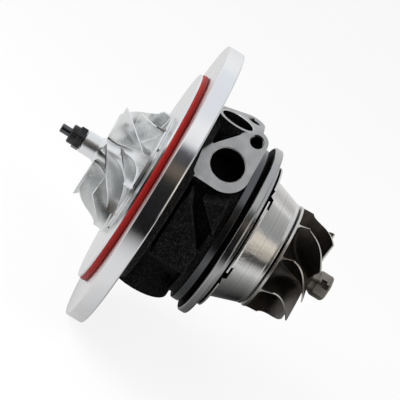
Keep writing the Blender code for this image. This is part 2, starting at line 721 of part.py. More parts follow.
def cut_front_holes(housing):
    """The dowel holes in the recess floor and the screw holes in the front face."""
    for y, z in dowel_places():
        start = (RECESS_FLOOR_X - SUNK, y, z)
        radius = DOWEL_RADIUS + RING_GAP
        deep = DOWEL_LENGTH - THRUST_THICKNESS + SUNK
        steps = ((radius, 0), (radius, deep))
        cut(housing, rod("dowel_hole", start, (1, 0, 0), steps, SMALL_SIDES))
    for y, z in screw_places():
        start = (HOUSING_FRONT_X - SUNK, y, z)
        radius = SCREW_RADIUS + RING_GAP
        deep = PILOT_X + SCREW_LENGTH + 2 * SEAT_GAP - start[0]
        steps = ((radius, 0), (radius, deep))
        cut(housing, rod("screw_hole", start, (1, 0, 0), steps, SMALL_SIDES))
    return housing


def plate_profile():
    """The back plate: flange, pilot with its seal groove, rear spigot and slinger pocket."""
    groove_floor = PILOT_RADIUS - O_RING_GROOVE_DEPTH
    spigot = RECESS_RADIUS - SPIGOT_CLEARANCE
    spigot_end = PLATE_BACK_X + PLATE_SPIGOT_LENGTH
    bore = FLINGER_RADIUS + SEAL_CLEARANCE
    pocket_x = spigot_end - SLINGER_POCKET_DEPTH
    return [
        (PILOT_X, bore),
        (PILOT_X, PILOT_RADIUS),
        (PILOT_X + PILOT_LIP, PILOT_RADIUS),
        (PILOT_X + PILOT_LIP, groove_floor),
        (PLATE_FRONT_X + FOOT_RELIEF_DEPTH, groove_floor),
        (PLATE_FRONT_X + FOOT_RELIEF_DEPTH, FOOT_RELIEF_RADIUS),
        (PLATE_FRONT_X, FOOT_RELIEF_RADIUS),
        (PLATE_FRONT_X, PLATE_RADIUS - PLATE_CHAMFER / 2),
        (PLATE_FRONT_X + PLATE_CHAMFER / 2, PLATE_RADIUS),
        (PLATE_BACK_X - PLATE_CHAMFER, PLATE_RADIUS),
        (PLATE_BACK_X, PLATE_RADIUS - PLATE_CHAMFER),
        (PLATE_BACK_X, spigot),
        (spigot_end, spigot),
        (spigot_end, SLINGER_POCKET_RADIUS),
        (pocket_x, SLINGER_POCKET_RADIUS),
        (pocket_x, bore),
    ]


def screw_hole_steps(extra):
    """Countersunk screw outline from the pilot's face, grown by a clearance."""
    return (
        (SCREW_HEAD_RADIUS + extra, 0),
        (SCREW_HEAD_RADIUS + extra, SCREW_BOSS_INSET + extra),
        (SCREW_RADIUS + extra, SCREW_HEAD_DEPTH + extra),
        (SCREW_RADIUS + extra, SCREW_LENGTH + extra),
    )


def make_plate(material):
    plate = revolve("compressor_backplate", plate_profile(), FINE_SIDES, material)
    for y, z in screw_places():
        start = (PILOT_X, y, z)
        steps = list(screw_hole_steps(SEAT_GAP))
        steps[0] = (steps[0][0], -SUNK)
        cut(plate, rod("screw_hole", start, (1, 0, 0), steps, SMALL_SIDES))
    return smooth(plate)


def make_screws(material, empty):
    for index, (y, z) in enumerate(screw_places()):
        start = (PILOT_X + SCREW_BOSS_INSET, y, z)
        screw = rod("screw_body", start, (1, 0, 0), screw_hole_steps(0.0), SMALL_SIDES)
        socket = ((SCREW_SOCKET_RADIUS, -SUNK), (SCREW_SOCKET_RADIUS, SCREW_SOCKET_DEPTH))
        cut(screw, rod("socket", start, (1, 0, 0), socket, 6))
        screw.name = f"backplate_screw_{index + 1}"
        show(screw, material, empty)


def show(made, material, parent):
    """Turns a tool shape into a piece of the model."""
    made.hide_render = False
    made.display_type = "TEXTURED"
    made.data.materials.clear()
    made.data.materials.append(material)
    made.parent = parent
    return smooth(made)


def ring_profile(x, inner, outer, width):
    low = x - width / 2
    high = x + width / 2
    return [(low, inner), (low, outer), (high, outer), (high, inner)]


def split_ring(name, x, inner, outer, width, opening, material, parent):
    """A rectangular ring with a gap in it, as a snap ring or piston ring has."""
    half = opening / outer / 2
    profile = ring_profile(x, inner, outer, width)
    ring = revolve(name, profile, ROUND_SIDES, material, parent, half, math.tau - 2 * half)
    return smooth(ring)


def torus(name, x, ring_radius, section_radius, sides, material, parent):
    maker_steps = 8
    outline = []
    for step in range(maker_steps):
        angle = math.tau * step / maker_steps
        point = (x + section_radius * math.cos(angle), ring_radius + section_radius * math.sin(angle))
        outline.append(point)
    return smooth(revolve(name, outline, sides, material, parent), 60)


def make_seals(materials, empty):
    groove_floor = PILOT_RADIUS - O_RING_GROOVE_DEPTH
    cover_x = (PILOT_X + PILOT_LIP + PLATE_FRONT_X) / 2
    cover_radius = groove_floor + O_RING_SECTION_RADIUS + RING_GAP
    torus(
        "cover_o_ring", cover_x, cover_radius, O_RING_SECTION_RADIUS, FINE_SIDES, materials["red"], empty
    )
    face_x = (PLATE_BACK_X + HOUSING_FRONT_X + FACE_GROOVE_DEPTH) / 2
    section = FACE_SEAL_SECTION_RADIUS
    black = materials["rubber"]
    torus("backplate_inner_o_ring", face_x, FACE_SEAL_RADIUS, section, ROUND_SIDES, black, empty)
    seal_outer = SHAFT_HUB_RADIUS + SEAL_CLEARANCE - RING_GAP
    split_ring(
        "turbine_seal_ring",
        TURBINE_SEAL_X,
        seal_outer - SEAL_RING_HEIGHT,
        seal_outer,
        SEAL_RING_WIDTH,
        SEAT_GAP,
        materials["steel"],
        empty,
    )
    front_outer = FLINGER_RADIUS + SEAL_CLEARANCE - RING_GAP
    split_ring(
        "compressor_seal_ring",
        COMPRESSOR_SEAL_X,
        front_outer - SEAL_RING_HEIGHT,
        front_outer,
        SEAL_RING_WIDTH,
        SEAT_GAP,
        materials["steel"],
        empty,
    )


def make_snap_rings(material, empty):
    outer = BUSH_BORE_RADIUS + SNAP_RING_DEPTH - RING_GAP
    reach = BUSH_LENGTH / 2 + SEAT_GAP + RING_GAP + SNAP_RING_WIDTH / 2
    places = (
        ("compressor_bearing_ring", COMPRESSOR_BUSH_X + reach),
        ("turbine_bearing_inner_ring", TURBINE_BUSH_X - reach),
        ("turbine_bearing_outer_ring", TURBINE_BUSH_X + reach),
    )
    opening = 2 * SNAP_RING_HEIGHT
    for name, x in places:
        split_ring(name, x, outer - SNAP_RING_HEIGHT, outer, SNAP_RING_WIDTH, opening, material, empty)


def make_bush(name, x, material, empty):
    """A floating bush with a ring of oil holes."""
    inner = JOURNAL_RADIUS + BEARING_CLEARANCE
    outer = BUSH_BORE_RADIUS - BEARING_CLEARANCE
    bush = revolve(name, ring_profile(0.0, inner, outer, BUSH_LENGTH), ROUND_SIDES, material)
    for index in range(BUSH_OIL_HOLES):
        angle = math.tau * index / BUSH_OIL_HOLES + math.pi / ROUND_SIDES
        out = (0, math.cos(angle), math.sin(angle))
        steps = ((BUSH_OIL_HOLE_RADIUS, JOURNAL_RADIUS / 2), (BUSH_OIL_HOLE_RADIUS, outer + SUNK))
        cut(bush, rod("oil_hole", (0, 0, 0), out, steps, 8))
    bush.location = (x, 0, 0)
    bush.parent = empty
    return smooth(bush)


def make_thrust_parts(materials, empty):
    """The fixed thrust bearing with its dowels, and the deflector plate in front of it."""
    bore = SLEEVE_RADIUS + ROTOR_CLEARANCE
    middle = (THRUST_FRONT_X + THRUST_BACK_X) / 2
    pad = revolve(
        "thrust_bearing", ring_profile(middle, bore, THRUST_RADIUS, THRUST_THICKNESS), ROUND_SIDES,
        materials["brass"], empty,
    )
    for y, z in dowel_places():
        radius = DOWEL_RADIUS + RING_GAP
        steps = ((radius, -SUNK), (radius, THRUST_THICKNESS + SUNK))
        cut(pad, rod("dowel_hole", (THRUST_FRONT_X, y, z), (1, 0, 0), steps, SMALL_SIDES))
    for index in range(THRUST_PADS):
        angle = math.tau * index / THRUST_PADS
        out = (0, math.cos(angle), math.sin(angle))
        steps = ((SEAT_GAP, 0), (SEAT_GAP, COLLAR_RADIUS))
        cut(pad, rod("oil_groove", (THRUST_FRONT_X, 0, 0), out, steps, 8))
    smooth(pad)
    for index, (y, z) in enumerate(dowel_places()):
        steps = ((DOWEL_RADIUS, 0), (DOWEL_RADIUS, DOWEL_LENGTH - SEAT_GAP))
        dowel = rod(f"thrust_dowel_{index + 1}", (THRUST_FRONT_X, y, z), (1, 0, 0), steps, SMALL_SIDES)
        show(dowel, materials["steel"], empty)
    sheet = (DEFLECTOR_FRONT_X + DEFLECTOR_BACK_X) / 2
    deflector = revolve(
        "oil_deflector",
        ring_profile(sheet, DEFLECTOR_HOLE_RADIUS, DEFLECTOR_RADIUS, DEFLECTOR_THICKNESS),
        ROUND_SIDES,
        materials["steel"],
        empty,
    )
    smooth(deflector)


def shield_profile():
    """The pressed heat shield: rim, cone, rolled edge and an inner face round the shaft."""
    sheet = SHIELD_THICKNESS
    start = SPIGOT_LENGTH + SEAT_GAP
    face = SHIELD_END_X - SHIELD_ROLL
    outline = [
        (start, SHIELD_RIM_RADIUS),
        (start, SHIELD_START_RADIUS - sheet),
        (face - sheet, SHIELD_END_RADIUS - sheet),
        (face - sheet, SHIELD_HOLE_RADIUS),
        (face, SHIELD_HOLE_RADIUS),
        (face, SHIELD_END_RADIUS - 2 * SHIELD_ROLL),
        (SHIELD_END_X, SHIELD_END_RADIUS - SHIELD_ROLL),
        (SHIELD_END_X, SHIELD_END_RADIUS - SHIELD_ROLL / 2),
        (SHIELD_END_X - SHIELD_ROLL / 2, SHIELD_END_RADIUS),
        (start + 2 * sheet, SHIELD_START_RADIUS),
        (start + sheet, SHIELD_START_RADIUS + sheet),
        (start + sheet, SHIELD_RIM_RADIUS),
    ]
    return outline


def make_shield(material, empty):
    """The shield, with notches in its rim that run through the foot of the cone."""
    shield = revolve("heat_shield", shield_profile(), FINE_SIDES, material, empty)
    half = SHIELD_NOTCH_WIDTH / 2
    low = SPIGOT_LENGTH
    high = low + SHIELD_NOTCH_LENGTH
    inner = SHIELD_START_RADIUS - 2 * SHIELD_THICKNESS - SEAT_GAP
    outer = SHIELD_RIM_RADIUS + SUNK
    notch = [(-half, inner), (half, inner), (half, outer), (-half, outer)]
    for index in range(SHIELD_NOTCHES):
        angle = math.tau * (index + 0.3) / SHIELD_NOTCHES
        across = Vector((0, -math.sin(angle), math.cos(angle)))
        out = Vector((0, math.cos(angle), math.sin(angle)))
        place = Matrix((across, out, Vector((1, 0, 0)))).transposed().to_4x4()
        cut(shield, prism("notch", notch, place, ((low, 1.0), (high, 1.0))))
    return smooth(shield)


def quarter_axial_first(share, start, end):
    """A quarter ellipse that leaves the start along X and reaches the end radially."""
    angle = share * math.pi / 2
    x = start[0] + (end[0] - start[0]) * math.sin(angle)
    radius = end[1] - (end[1] - start[1]) * math.cos(angle)
    return x, radius


def quarter_radial_first(share, start, end):
    """A quarter ellipse that leaves the start radially and reaches the end along X."""
    angle = share * math.pi / 2
    x = start[0] + (end[0] - start[0]) * (1 - math.cos(angle))
    radius = start[1] - (start[1] - end[1]) * math.sin(angle)
    return x, radius


def blade(name, place_point, thickness, shares, spans):
    """A closed curved blade: place_point(share, span) gives (x, radius, angle) on its middle surface."""
    def point(share, span):
        x, radius, angle = place_point(share, span)
        return Vector((x, radius * math.cos(angle), radius * math.sin(angle)))

    def normal(share, span):
        step = 1e-3
        along = point(share + step, span) - point(share - step, span)
        across = point(share, span + step) - point(share, span - step)
        return along.cross(across).normalized()

    maker = bmesh.new()
    sides = []
    for sign in (1, -1):
        rows = []
        for share in shares:
            row = []
            for span in spans:
                offset = normal(share, span) * (sign * thickness(share, span) / 2)
                row.append(maker.verts.new(point(share, span) + offset))
            rows.append(row)
        sides.append(rows)
    for rows in sides:
        for low, high in zip(rows, rows[1:]):
            for step in range(len(spans) - 1):
                maker.faces.new((low[step], low[step + 1], high[step + 1], high[step]))
    left, right = sides
    for index in range(len(shares) - 1):
        after = index + 1
        for end in (0, -1):
            maker.faces.new((left[index][end], left[after][end], right[after][end], right[index][end]))
    for end in (0, -1):
        for step in range(len(spans) - 1):
            maker.faces.new((left[end][step], left[end][step + 1], right[end][step + 1], right[end][step]))
    return add_object(name, maker)


def even(start, end, count):
    return [start + (end - start) * index / (count - 1) for index in range(count)]


def compressor_hub(share):
    start = (WHEEL_INLET_X, COMPRESSOR_HUB_RADIUS)
    return quarter_axial_first(share, start, (WHEEL_DISC_X, COMPRESSOR_RADIUS))


def compressor_shroud(share):
    start = (WHEEL_INLET_X, COMPRESSOR_INDUCER_RADIUS)
    end = (WHEEL_DISC_X - COMPRESSOR_TIP_WIDTH, COMPRESSOR_RADIUS)
    return quarter_axial_first(share, start, end)


def compressor_point(phase):
    def place(share, span):
        low = compressor_hub(share)
        high = compressor_shroud(share)
        x = low[0] + (high[0] - low[0]) * span
        radius = low[1] + (high[1] - low[1]) * span
        root = share**1.05
        tip = 0.6 * (1 - (1 - share) ** 3) + 0.4 * share
        return x, radius, phase + COMPRESSOR_WRAP * (root + (tip - root) * span)

    return place


def compressor_thickness(share, span):
    full = COMPRESSOR_BLADE_ROOT + (COMPRESSOR_BLADE_TIP - COMPRESSOR_BLADE_ROOT) * min(max(span, 0), 1)
    return full * min(1.0, 0.55 + 3 * share)


def make_compressor_wheel(material, empty):
    outline = [compressor_hub(share) for share in even(0, 1, 9)]
    foot = WHEEL_BACK_X
    bore = SPINDLE_RADIUS + RING_GAP
    profile = (
        [(WHEEL_NOSE_X, bore), (WHEEL_NOSE_X, COMPRESSOR_NOSE_RADIUS)]
        + [(WHEEL_INLET_X - SUNK, COMPRESSOR_NOSE_RADIUS)]
        + outline
        + [(foot, COMPRESSOR_RADIUS), (foot, bore)]
    )
    wheel = revolve("compressor_wheel", profile, FINE_SIDES, material, empty)
    pitch = math.tau / COMPRESSOR_BLADES
    for index in range(COMPRESSOR_BLADES):
        phase = COMPRESSOR_PHASE + index * pitch
        shares = even(BLADE_END_INSET, 1 - BLADE_END_INSET, COMPRESSOR_BLADE_ROWS)
        spans = even(COMPRESSOR_ROOT_SPAN, 1, BLADE_COLUMNS)
        join(wheel, blade("full", compressor_point(phase), compressor_thickness, shares, spans))
        half = compressor_point(phase + pitch / 2)
        shares = even(SPLITTER_START, 1 - BLADE_END_INSET, SPLITTER_ROWS)
        join(wheel, blade("splitter", half, compressor_thickness, shares, spans))
    return smooth(wheel)


def turbine_hub(share):
    start = (TURBINE_BACK_X + TURBINE_RIM_THICKNESS, TURBINE_RADIUS)
    return quarter_radial_first(share, start, (TURBINE_EXIT_X, TURBINE_HUB_RADIUS))


def turbine_shroud(share):
    start = (TURBINE_BACK_X + TURBINE_TIP_WIDTH, TURBINE_RADIUS)
    return quarter_radial_first(share, start, (TURBINE_EXIT_X, TURBINE_EXDUCER_RADIUS))


def turbine_point(phase):
    def place(share, span):
        low = turbine_hub(share)
        high = turbine_shroud(share)
        x = low[0] + (high[0] - low[0]) * span
        radius = low[1] + (high[1] - low[1]) * span
        run = 1 - math.cos(share * math.pi / 2)
        turn = TURBINE_WRAP * run**2.6 + TURBINE_LEAN * span * (1 - run)
        return x, radius, phase + turn

    return place


def turbine_thickness(share, span):
    return TURBINE_BLADE_ROOT + (TURBINE_BLADE_TIP - TURBINE_BLADE_ROOT) * min(max(span, 0), 1)


def make_turbine_wheel(material, empty):
    outline = [turbine_hub(share) for share in even(0, 1, 9)]
    profile = (
        [(TURBINE_BACK_X + TURBINE_BACK_DISH, 0.0), (TURBINE_BACK_X + TURBINE_BACK_DISH, SHAFT_HUB_RADIUS)]
        + [(TURBINE_BACK_X, TURBINE_RADIUS - TURBINE_BACK_DISH), (TURBINE_BACK_X, TURBINE_RADIUS)]
        + outline
        + [(TURBINE_EXIT_X + SUNK, TURBINE_HUB_RADIUS), (TURBINE_EXIT_X + SUNK, 0.0)]
    )
    wheel = revolve("turbine_wheel", profile, FINE_SIDES, material, empty)
    for index in range(TURBINE_BLADES):
        phase = TURBINE_PHASE + index * math.tau / TURBINE_BLADES
        shares = even(BLADE_END_INSET, 1 - BLADE_END_INSET, TURBINE_BLADE_ROWS)
        spans = even(TURBINE_ROOT_SPAN, 1, BLADE_COLUMNS)
        vane = blade("vane", turbine_point(phase), turbine_thickness, shares, spans)
        join(wheel, vane)
    start = (TURBINE_EXIT_X - SUNK, 0, 0)
    reach = TURBINE_BOSS_END_X - TURBINE_EXIT_X + SUNK
    steps = (
        (TURBINE_BOSS_RADIUS - SUNK, 0),
        (TURBINE_BOSS_RADIUS - SUNK / 2, reach * 0.4),
        (TURBINE_BOSS_RADIUS, reach * 0.5),
        (TURBINE_BOSS_RADIUS, reach - SUNK),
        (TURBINE_BOSS_RADIUS - SUNK, reach),
    )
    join(wheel, rod("boss", start, (1, 0, 0), steps, 12))
    return smooth(cut_balance_steps(wheel))


def cut_balance_steps(wheel):
    """Two square steps in the boss, where metal was taken off to balance the rotor."""
    normal = (0, -math.sin(BALANCE_CUT_ANGLE), math.cos(BALANCE_CUT_ANGLE))
    place = pad_frame(normal, TURBINE_BOSS_RADIUS)
    half = BALANCE_CUT_SIZE / 2
    for shift, share in ((0.0, 1.0), (half, 0.5)):
        x = BALANCE_CUT_X + shift
        outline = [(x - half, -half - shift), (x + half, -half - shift), (x + half, half - shift)]
        outline.append((x - half, half - shift))
        cut(wheel, prism("balance_cut", outline, place, ((-BALANCE_CUT_DEPTH * share, 1.0), (SUNK, 1.0))))
    return wheel


def shaft_profile():
    """The shaft from its end stub, through the clamped parts and journals, to the hub at the wheel."""
    low = TURBINE_SEAL_X - SEAL_RING_WIDTH / 2 - SEAT_GAP
    high = TURBINE_SEAL_X + SEAL_RING_WIDTH / 2 + SEAT_GAP
    floor = SHAFT_HUB_RADIUS - SEAL_RING_HEIGHT - SEAT_GAP
    weld = SHAFT_WELD_X + TURBINE_BACK_DISH
    return [
        (SHAFT_END_X, 0.0),
        (SHAFT_END_X, STUB_RADIUS - SEAT_GAP),
        (SHAFT_END_X + SEAT_GAP, STUB_RADIUS),
        (NUT_FRONT_X, STUB_RADIUS),
        (NUT_FRONT_X, SPINDLE_RADIUS),
        (SHAFT_SHOULDER_X, SPINDLE_RADIUS),
        (SHAFT_SHOULDER_X, JOURNAL_RADIUS),
        (SHAFT_HUB_START, JOURNAL_RADIUS),
        (SHAFT_HUB_START, SHAFT_HUB_RADIUS),
        (low, SHAFT_HUB_RADIUS),
        (low, floor),
        (high, floor),
        (high, SHAFT_HUB_RADIUS),
        (weld, SHAFT_HUB_RADIUS),
        (weld, 0.0),
    ]


def make_rotor_sleeves(materials, empty):
    bore = SPINDLE_RADIUS + RING_GAP
    collar = [
        (COLLAR_FRONT_X, bore),
        (COLLAR_FRONT_X, SLEEVE_RADIUS),
        (COLLAR_FACE_X, SLEEVE_RADIUS),
        (COLLAR_FACE_X, COLLAR_RADIUS),
        (COLLAR_FACE_X + COLLAR_THICKNESS, COLLAR_RADIUS),
        (COLLAR_FACE_X + COLLAR_THICKNESS, bore),
    ]
    smooth(revolve("thrust_collar", collar, ROUND_SIDES, materials["steel"], empty))
    middle = WASHER_FRONT_X + WASHER_THICKNESS / 2
    washer = ring_profile(middle, bore, COLLAR_RADIUS, WASHER_THICKNESS)
    smooth(revolve("thrust_washer", washer, ROUND_SIDES, materials["steel"], empty))
    low = COMPRESSOR_SEAL_X - SEAL_RING_WIDTH / 2 - SEAT_GAP
    high = COMPRESSOR_SEAL_X + SEAL_RING_WIDTH / 2 + SEAT_GAP
    floor = FLINGER_RADIUS - SEAL_RING_HEIGHT - SEAT_GAP
    disc_front = FLINGER_BACK_X - FLINGER_DISC_THICKNESS
    flinger = [
        (FLINGER_FRONT_X, bore),
        (FLINGER_FRONT_X, FLINGER_RADIUS),
        (low, FLINGER_RADIUS),
        (low, floor),
        (high, floor),
        (high, FLINGER_RADIUS),
        (disc_front, FLINGER_RADIUS),
        (disc_front, FLINGER_DISC_RADIUS),
        (FLINGER_BACK_X, FLINGER_DISC_RADIUS),
        (FLINGER_BACK_X, bore),
    ]
    smooth(revolve("oil_flinger", flinger, ROUND_SIDES, materials["steel"], empty))


def make_nut(material, empty):
    """The black nut: a hexagon against the wheel and a smaller twelve-sided collar in front."""
    flat_to_corner = 1 / math.cos(math.pi / 6)
    hexagon = NUT_FLATS / 2 * flat_to_corner
    collar = NUT_COLLAR_FLATS / 2
    steps = (
        (hexagon - NUT_CHAMFER, 0),
        (hexagon, NUT_CHAMFER),
        (hexagon, NUT_THICKNESS - NUT_CHAMFER),
        (hexagon - NUT_CHAMFER, NUT_THICKNESS),
    )
    nut = rod("nut_hexagon", (NUT_BACK_X, 0, 0), (-1, 0, 0), steps, 6)
    reach = NUT_THICKNESS + NUT_COLLAR_LENGTH
    crown = ((collar, NUT_THICKNESS / 2), (collar, reach - NUT_CHAMFER), (collar - NUT_CHAMFER, reach))
    join(nut, rod("nut_collar", (NUT_BACK_X, 0, 0), (-1, 0, 0), crown, 12))
    bore = SPINDLE_RADIUS + RING_GAP
    steps = ((bore, -SUNK), (bore, reach + SUNK))
    cut(nut, rod("nut_bore", (NUT_BACK_X, 0, 0), (-1, 0, 0), steps, SMALL_SIDES))
    nut.name = "compressor_nut"
    return show(nut, material, empty)


def make_materials():
    return {
        "cast": make_material("cast_iron_black", (0.018, 0.017, 0.016), 0.62, 0.3),
        "aluminium": make_material("turned_aluminium", (0.82, 0.83, 0.85), 0.16, 1.0),
        "milled": make_material("milled_aluminium", (0.80, 0.81, 0.83), 0.28, 1.0),
        "steel": make_material("machined_steel", (0.52, 0.52, 0.53), 0.3, 1.0),
        "shield": make_material("pressed_stainless", (0.70, 0.68, 0.66), 0.22, 1.0),
        "turbine": make_material("cast_nickel_alloy", (0.05, 0.043, 0.038), 0.45, 0.8),
        "black": make_material("black_oxide", (0.02, 0.02, 0.022), 0.4, 0.6),
        "red": make_material("red_silicone", (0.42, 0.02, 0.02), 0.35, 0.0),
        "rubber": make_material("black_rubber", (0.015, 0.015, 0.015), 0.6, 0.0),
        "brass": make_material("bearing_bronze", (0.62, 0.44, 0.2), 0.3, 1.0),
    }


def make_empty(name):
    empty = bpy.data.objects.new(name, None)
    bpy.context.scene.collection.objects.link(empty)
    return empty


def main():
    clear_scene()
    materials = make_materials()
    fixed = make_empty("fixed_parts")
    rotor = make_empty("rotor_axis")
    housing = make_housing(materials["cast"])
    housing.parent = fixed
    plate = make_plate(materials["aluminium"])
    plate.parent = fixed
    make_screws(materials["black"], fixed)
    make_seals(materials, fixed)
    make_snap_rings(materials["steel"], fixed)
    make_thrust_parts(materials, fixed)
    make_shield(materials["shield"], fixed)
    make_bush("compressor_journal_bearing", COMPRESSOR_BUSH_X, materials["brass"], fixed)
    make_bush("turbine_journal_bearing", TURBINE_BUSH_X, materials["brass"], fixed)
    smooth(revolve("rotor_shaft", shaft_profile(), ROUND_SIDES, materials["steel"], rotor))
    make_rotor_sleeves(materials, rotor)
    make_turbine_wheel(materials["turbine"], rotor)
    make_compressor_wheel(materials["milled"], rotor)
    make_nut(materials["black"], rotor)


main()
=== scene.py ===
"""Looks for the turbocharger cartridge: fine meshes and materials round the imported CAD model.

Sizes are in millimetres in the frame of the CAD model, and meshes are scaled to metres as they are made.
"""

import json
import math

import bmesh
import bpy
from mathutils import Matrix, Vector


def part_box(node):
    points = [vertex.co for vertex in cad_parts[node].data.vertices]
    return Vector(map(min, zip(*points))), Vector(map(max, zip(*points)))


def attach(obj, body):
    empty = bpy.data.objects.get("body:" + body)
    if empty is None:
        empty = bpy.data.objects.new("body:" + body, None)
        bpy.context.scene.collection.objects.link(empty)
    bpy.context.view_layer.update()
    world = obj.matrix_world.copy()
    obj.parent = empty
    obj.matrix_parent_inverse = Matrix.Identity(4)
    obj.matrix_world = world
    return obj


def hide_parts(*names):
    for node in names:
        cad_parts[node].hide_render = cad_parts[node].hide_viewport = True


MM = 0.001
DEG = math.pi / 180
HEXAGON_STEPS = 72

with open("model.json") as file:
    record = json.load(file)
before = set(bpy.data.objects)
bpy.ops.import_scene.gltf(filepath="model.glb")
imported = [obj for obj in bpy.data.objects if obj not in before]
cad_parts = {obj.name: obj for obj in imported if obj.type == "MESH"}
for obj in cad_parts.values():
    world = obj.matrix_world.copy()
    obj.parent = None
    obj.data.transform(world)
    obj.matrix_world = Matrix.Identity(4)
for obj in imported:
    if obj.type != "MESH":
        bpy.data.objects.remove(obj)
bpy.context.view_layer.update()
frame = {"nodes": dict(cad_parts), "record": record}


def cad_box_mm(node):
    low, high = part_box(node)
    return low / MM, high / MM


PLATE_LOW, PLATE_HIGH = cad_box_mm("compressor_backplate")
HOUSING_LOW = cad_box_mm("bearing_housing")[0]
SHIELD_LOW, SHIELD_HIGH = cad_box_mm("heat_shield")
TURBINE_LOW, TURBINE_HIGH = cad_box_mm("turbine_wheel")
COMPRESSOR_LOW, COMPRESSOR_HIGH = cad_box_mm("compressor_wheel")
NUT_HIGH = cad_box_mm("compressor_nut")[1]
O_RING_LOW, O_RING_HIGH = cad_box_mm("cover_o_ring")
CAST_FLANGE_WIDTH = 5.0
FLANGE_BACK_X = HOUSING_LOW.x + CAST_FLANGE_WIDTH

# Camera, from a fit to the photograph: 400 pixels across, and the flange's front centre seen at this pixel
IMAGE_SIZE = 400
PIXELS_PER_MM = 2.4068
CAMERA_DISTANCE = 1000.0
FLANGE_PIXEL = (147.03, 179.49)
AXIS_TILT = 31.44 * DEG
AXIS_AWAY = 5.12 * DEG
CAMERA_RISE = 18.5 * DEG
SENSOR_WIDTH = 36.0

# Light
WORLD_LIGHT = 0.55
WORLD_SLOPE = 0.30
FLOOR_GLOW = 0.85
KEY_POWER = 4.0
SIDE_POWER = 1.5

# What polished metal mirrors round the rotor axis: (degrees from straight up toward the camera, colour).
# Pale walls, and a dark gap where the camera stands.
ROOM_LIGHT = (
    (-180, (0.66, 0.67, 0.68)), (-80, (0.80, 0.80, 0.81)), (-40, (0.97, 0.98, 0.98)), (-30, (0.97, 0.98, 0.98)),
    (-22, (0.86, 0.89, 0.94)), (24, (0.84, 0.86, 0.89)), (36, (0.98, 0.98, 0.98)), (52, (0.92, 0.93, 0.94)),
    (57, (0.08, 0.08, 0.09)), (67, (0.05, 0.05, 0.055)), (74, (0.20, 0.155, 0.115)), (82, (0.02, 0.02, 0.02)),
    (98, (0.008, 0.008, 0.009)), (116, (0.015, 0.016, 0.02)), (180, (0.66, 0.67, 0.68)),
)
# The same, seen by faces that turn to the turbine end: darker, with one bright strip and a warm one.
TURBINE_SIDE_LIGHT = (
    (-180, (0.40, 0.40, 0.41)), (-60, (0.82, 0.82, 0.82)), (-34, (0.60, 0.60, 0.60)),
    (-20, (0.70, 0.69, 0.68)), (-13, (1.0, 1.0, 1.0)), (-8, (1.0, 1.0, 1.0)), (-4, (0.58, 0.585, 0.59)),
    (28, (0.42, 0.42, 0.42)), (58, (0.34, 0.36, 0.38)), (66, (0.85, 0.82, 0.75)), (80, (1.0, 0.94, 0.83)),
    (90, (0.60, 0.56, 0.50)), (110, (0.52, 0.49, 0.45)), (180, (0.45, 0.45, 0.45)),
)
# How much a face must turn to the turbine end to see the second one
SIDE_START = 0.16
SIDE_END = 0.42

# The floor's painted glow, seen only in polished metal: dark toward the camera, with a painted shadow under the
# turbine end
FLOOR_HALF_SIZE = 3000.0
FLOOR_Z = -65.5
FLOOR_PAINTED_GLOW = 0.80
FLOOR_DARKEST = 0.01
FLOOR_DARK_START = -100.0
FLOOR_DARK_END = -300.0
FLOOR_SHADE_CENTRE = (35.0, 15.0)
FLOOR_SHADE_STRETCH = 1.5
FLOOR_SHADE_REACH = 140.0
FLOOR_SHADE_LEAST = 0.08
FLOOR_SHADE_CURVE = 1.7


# Materials


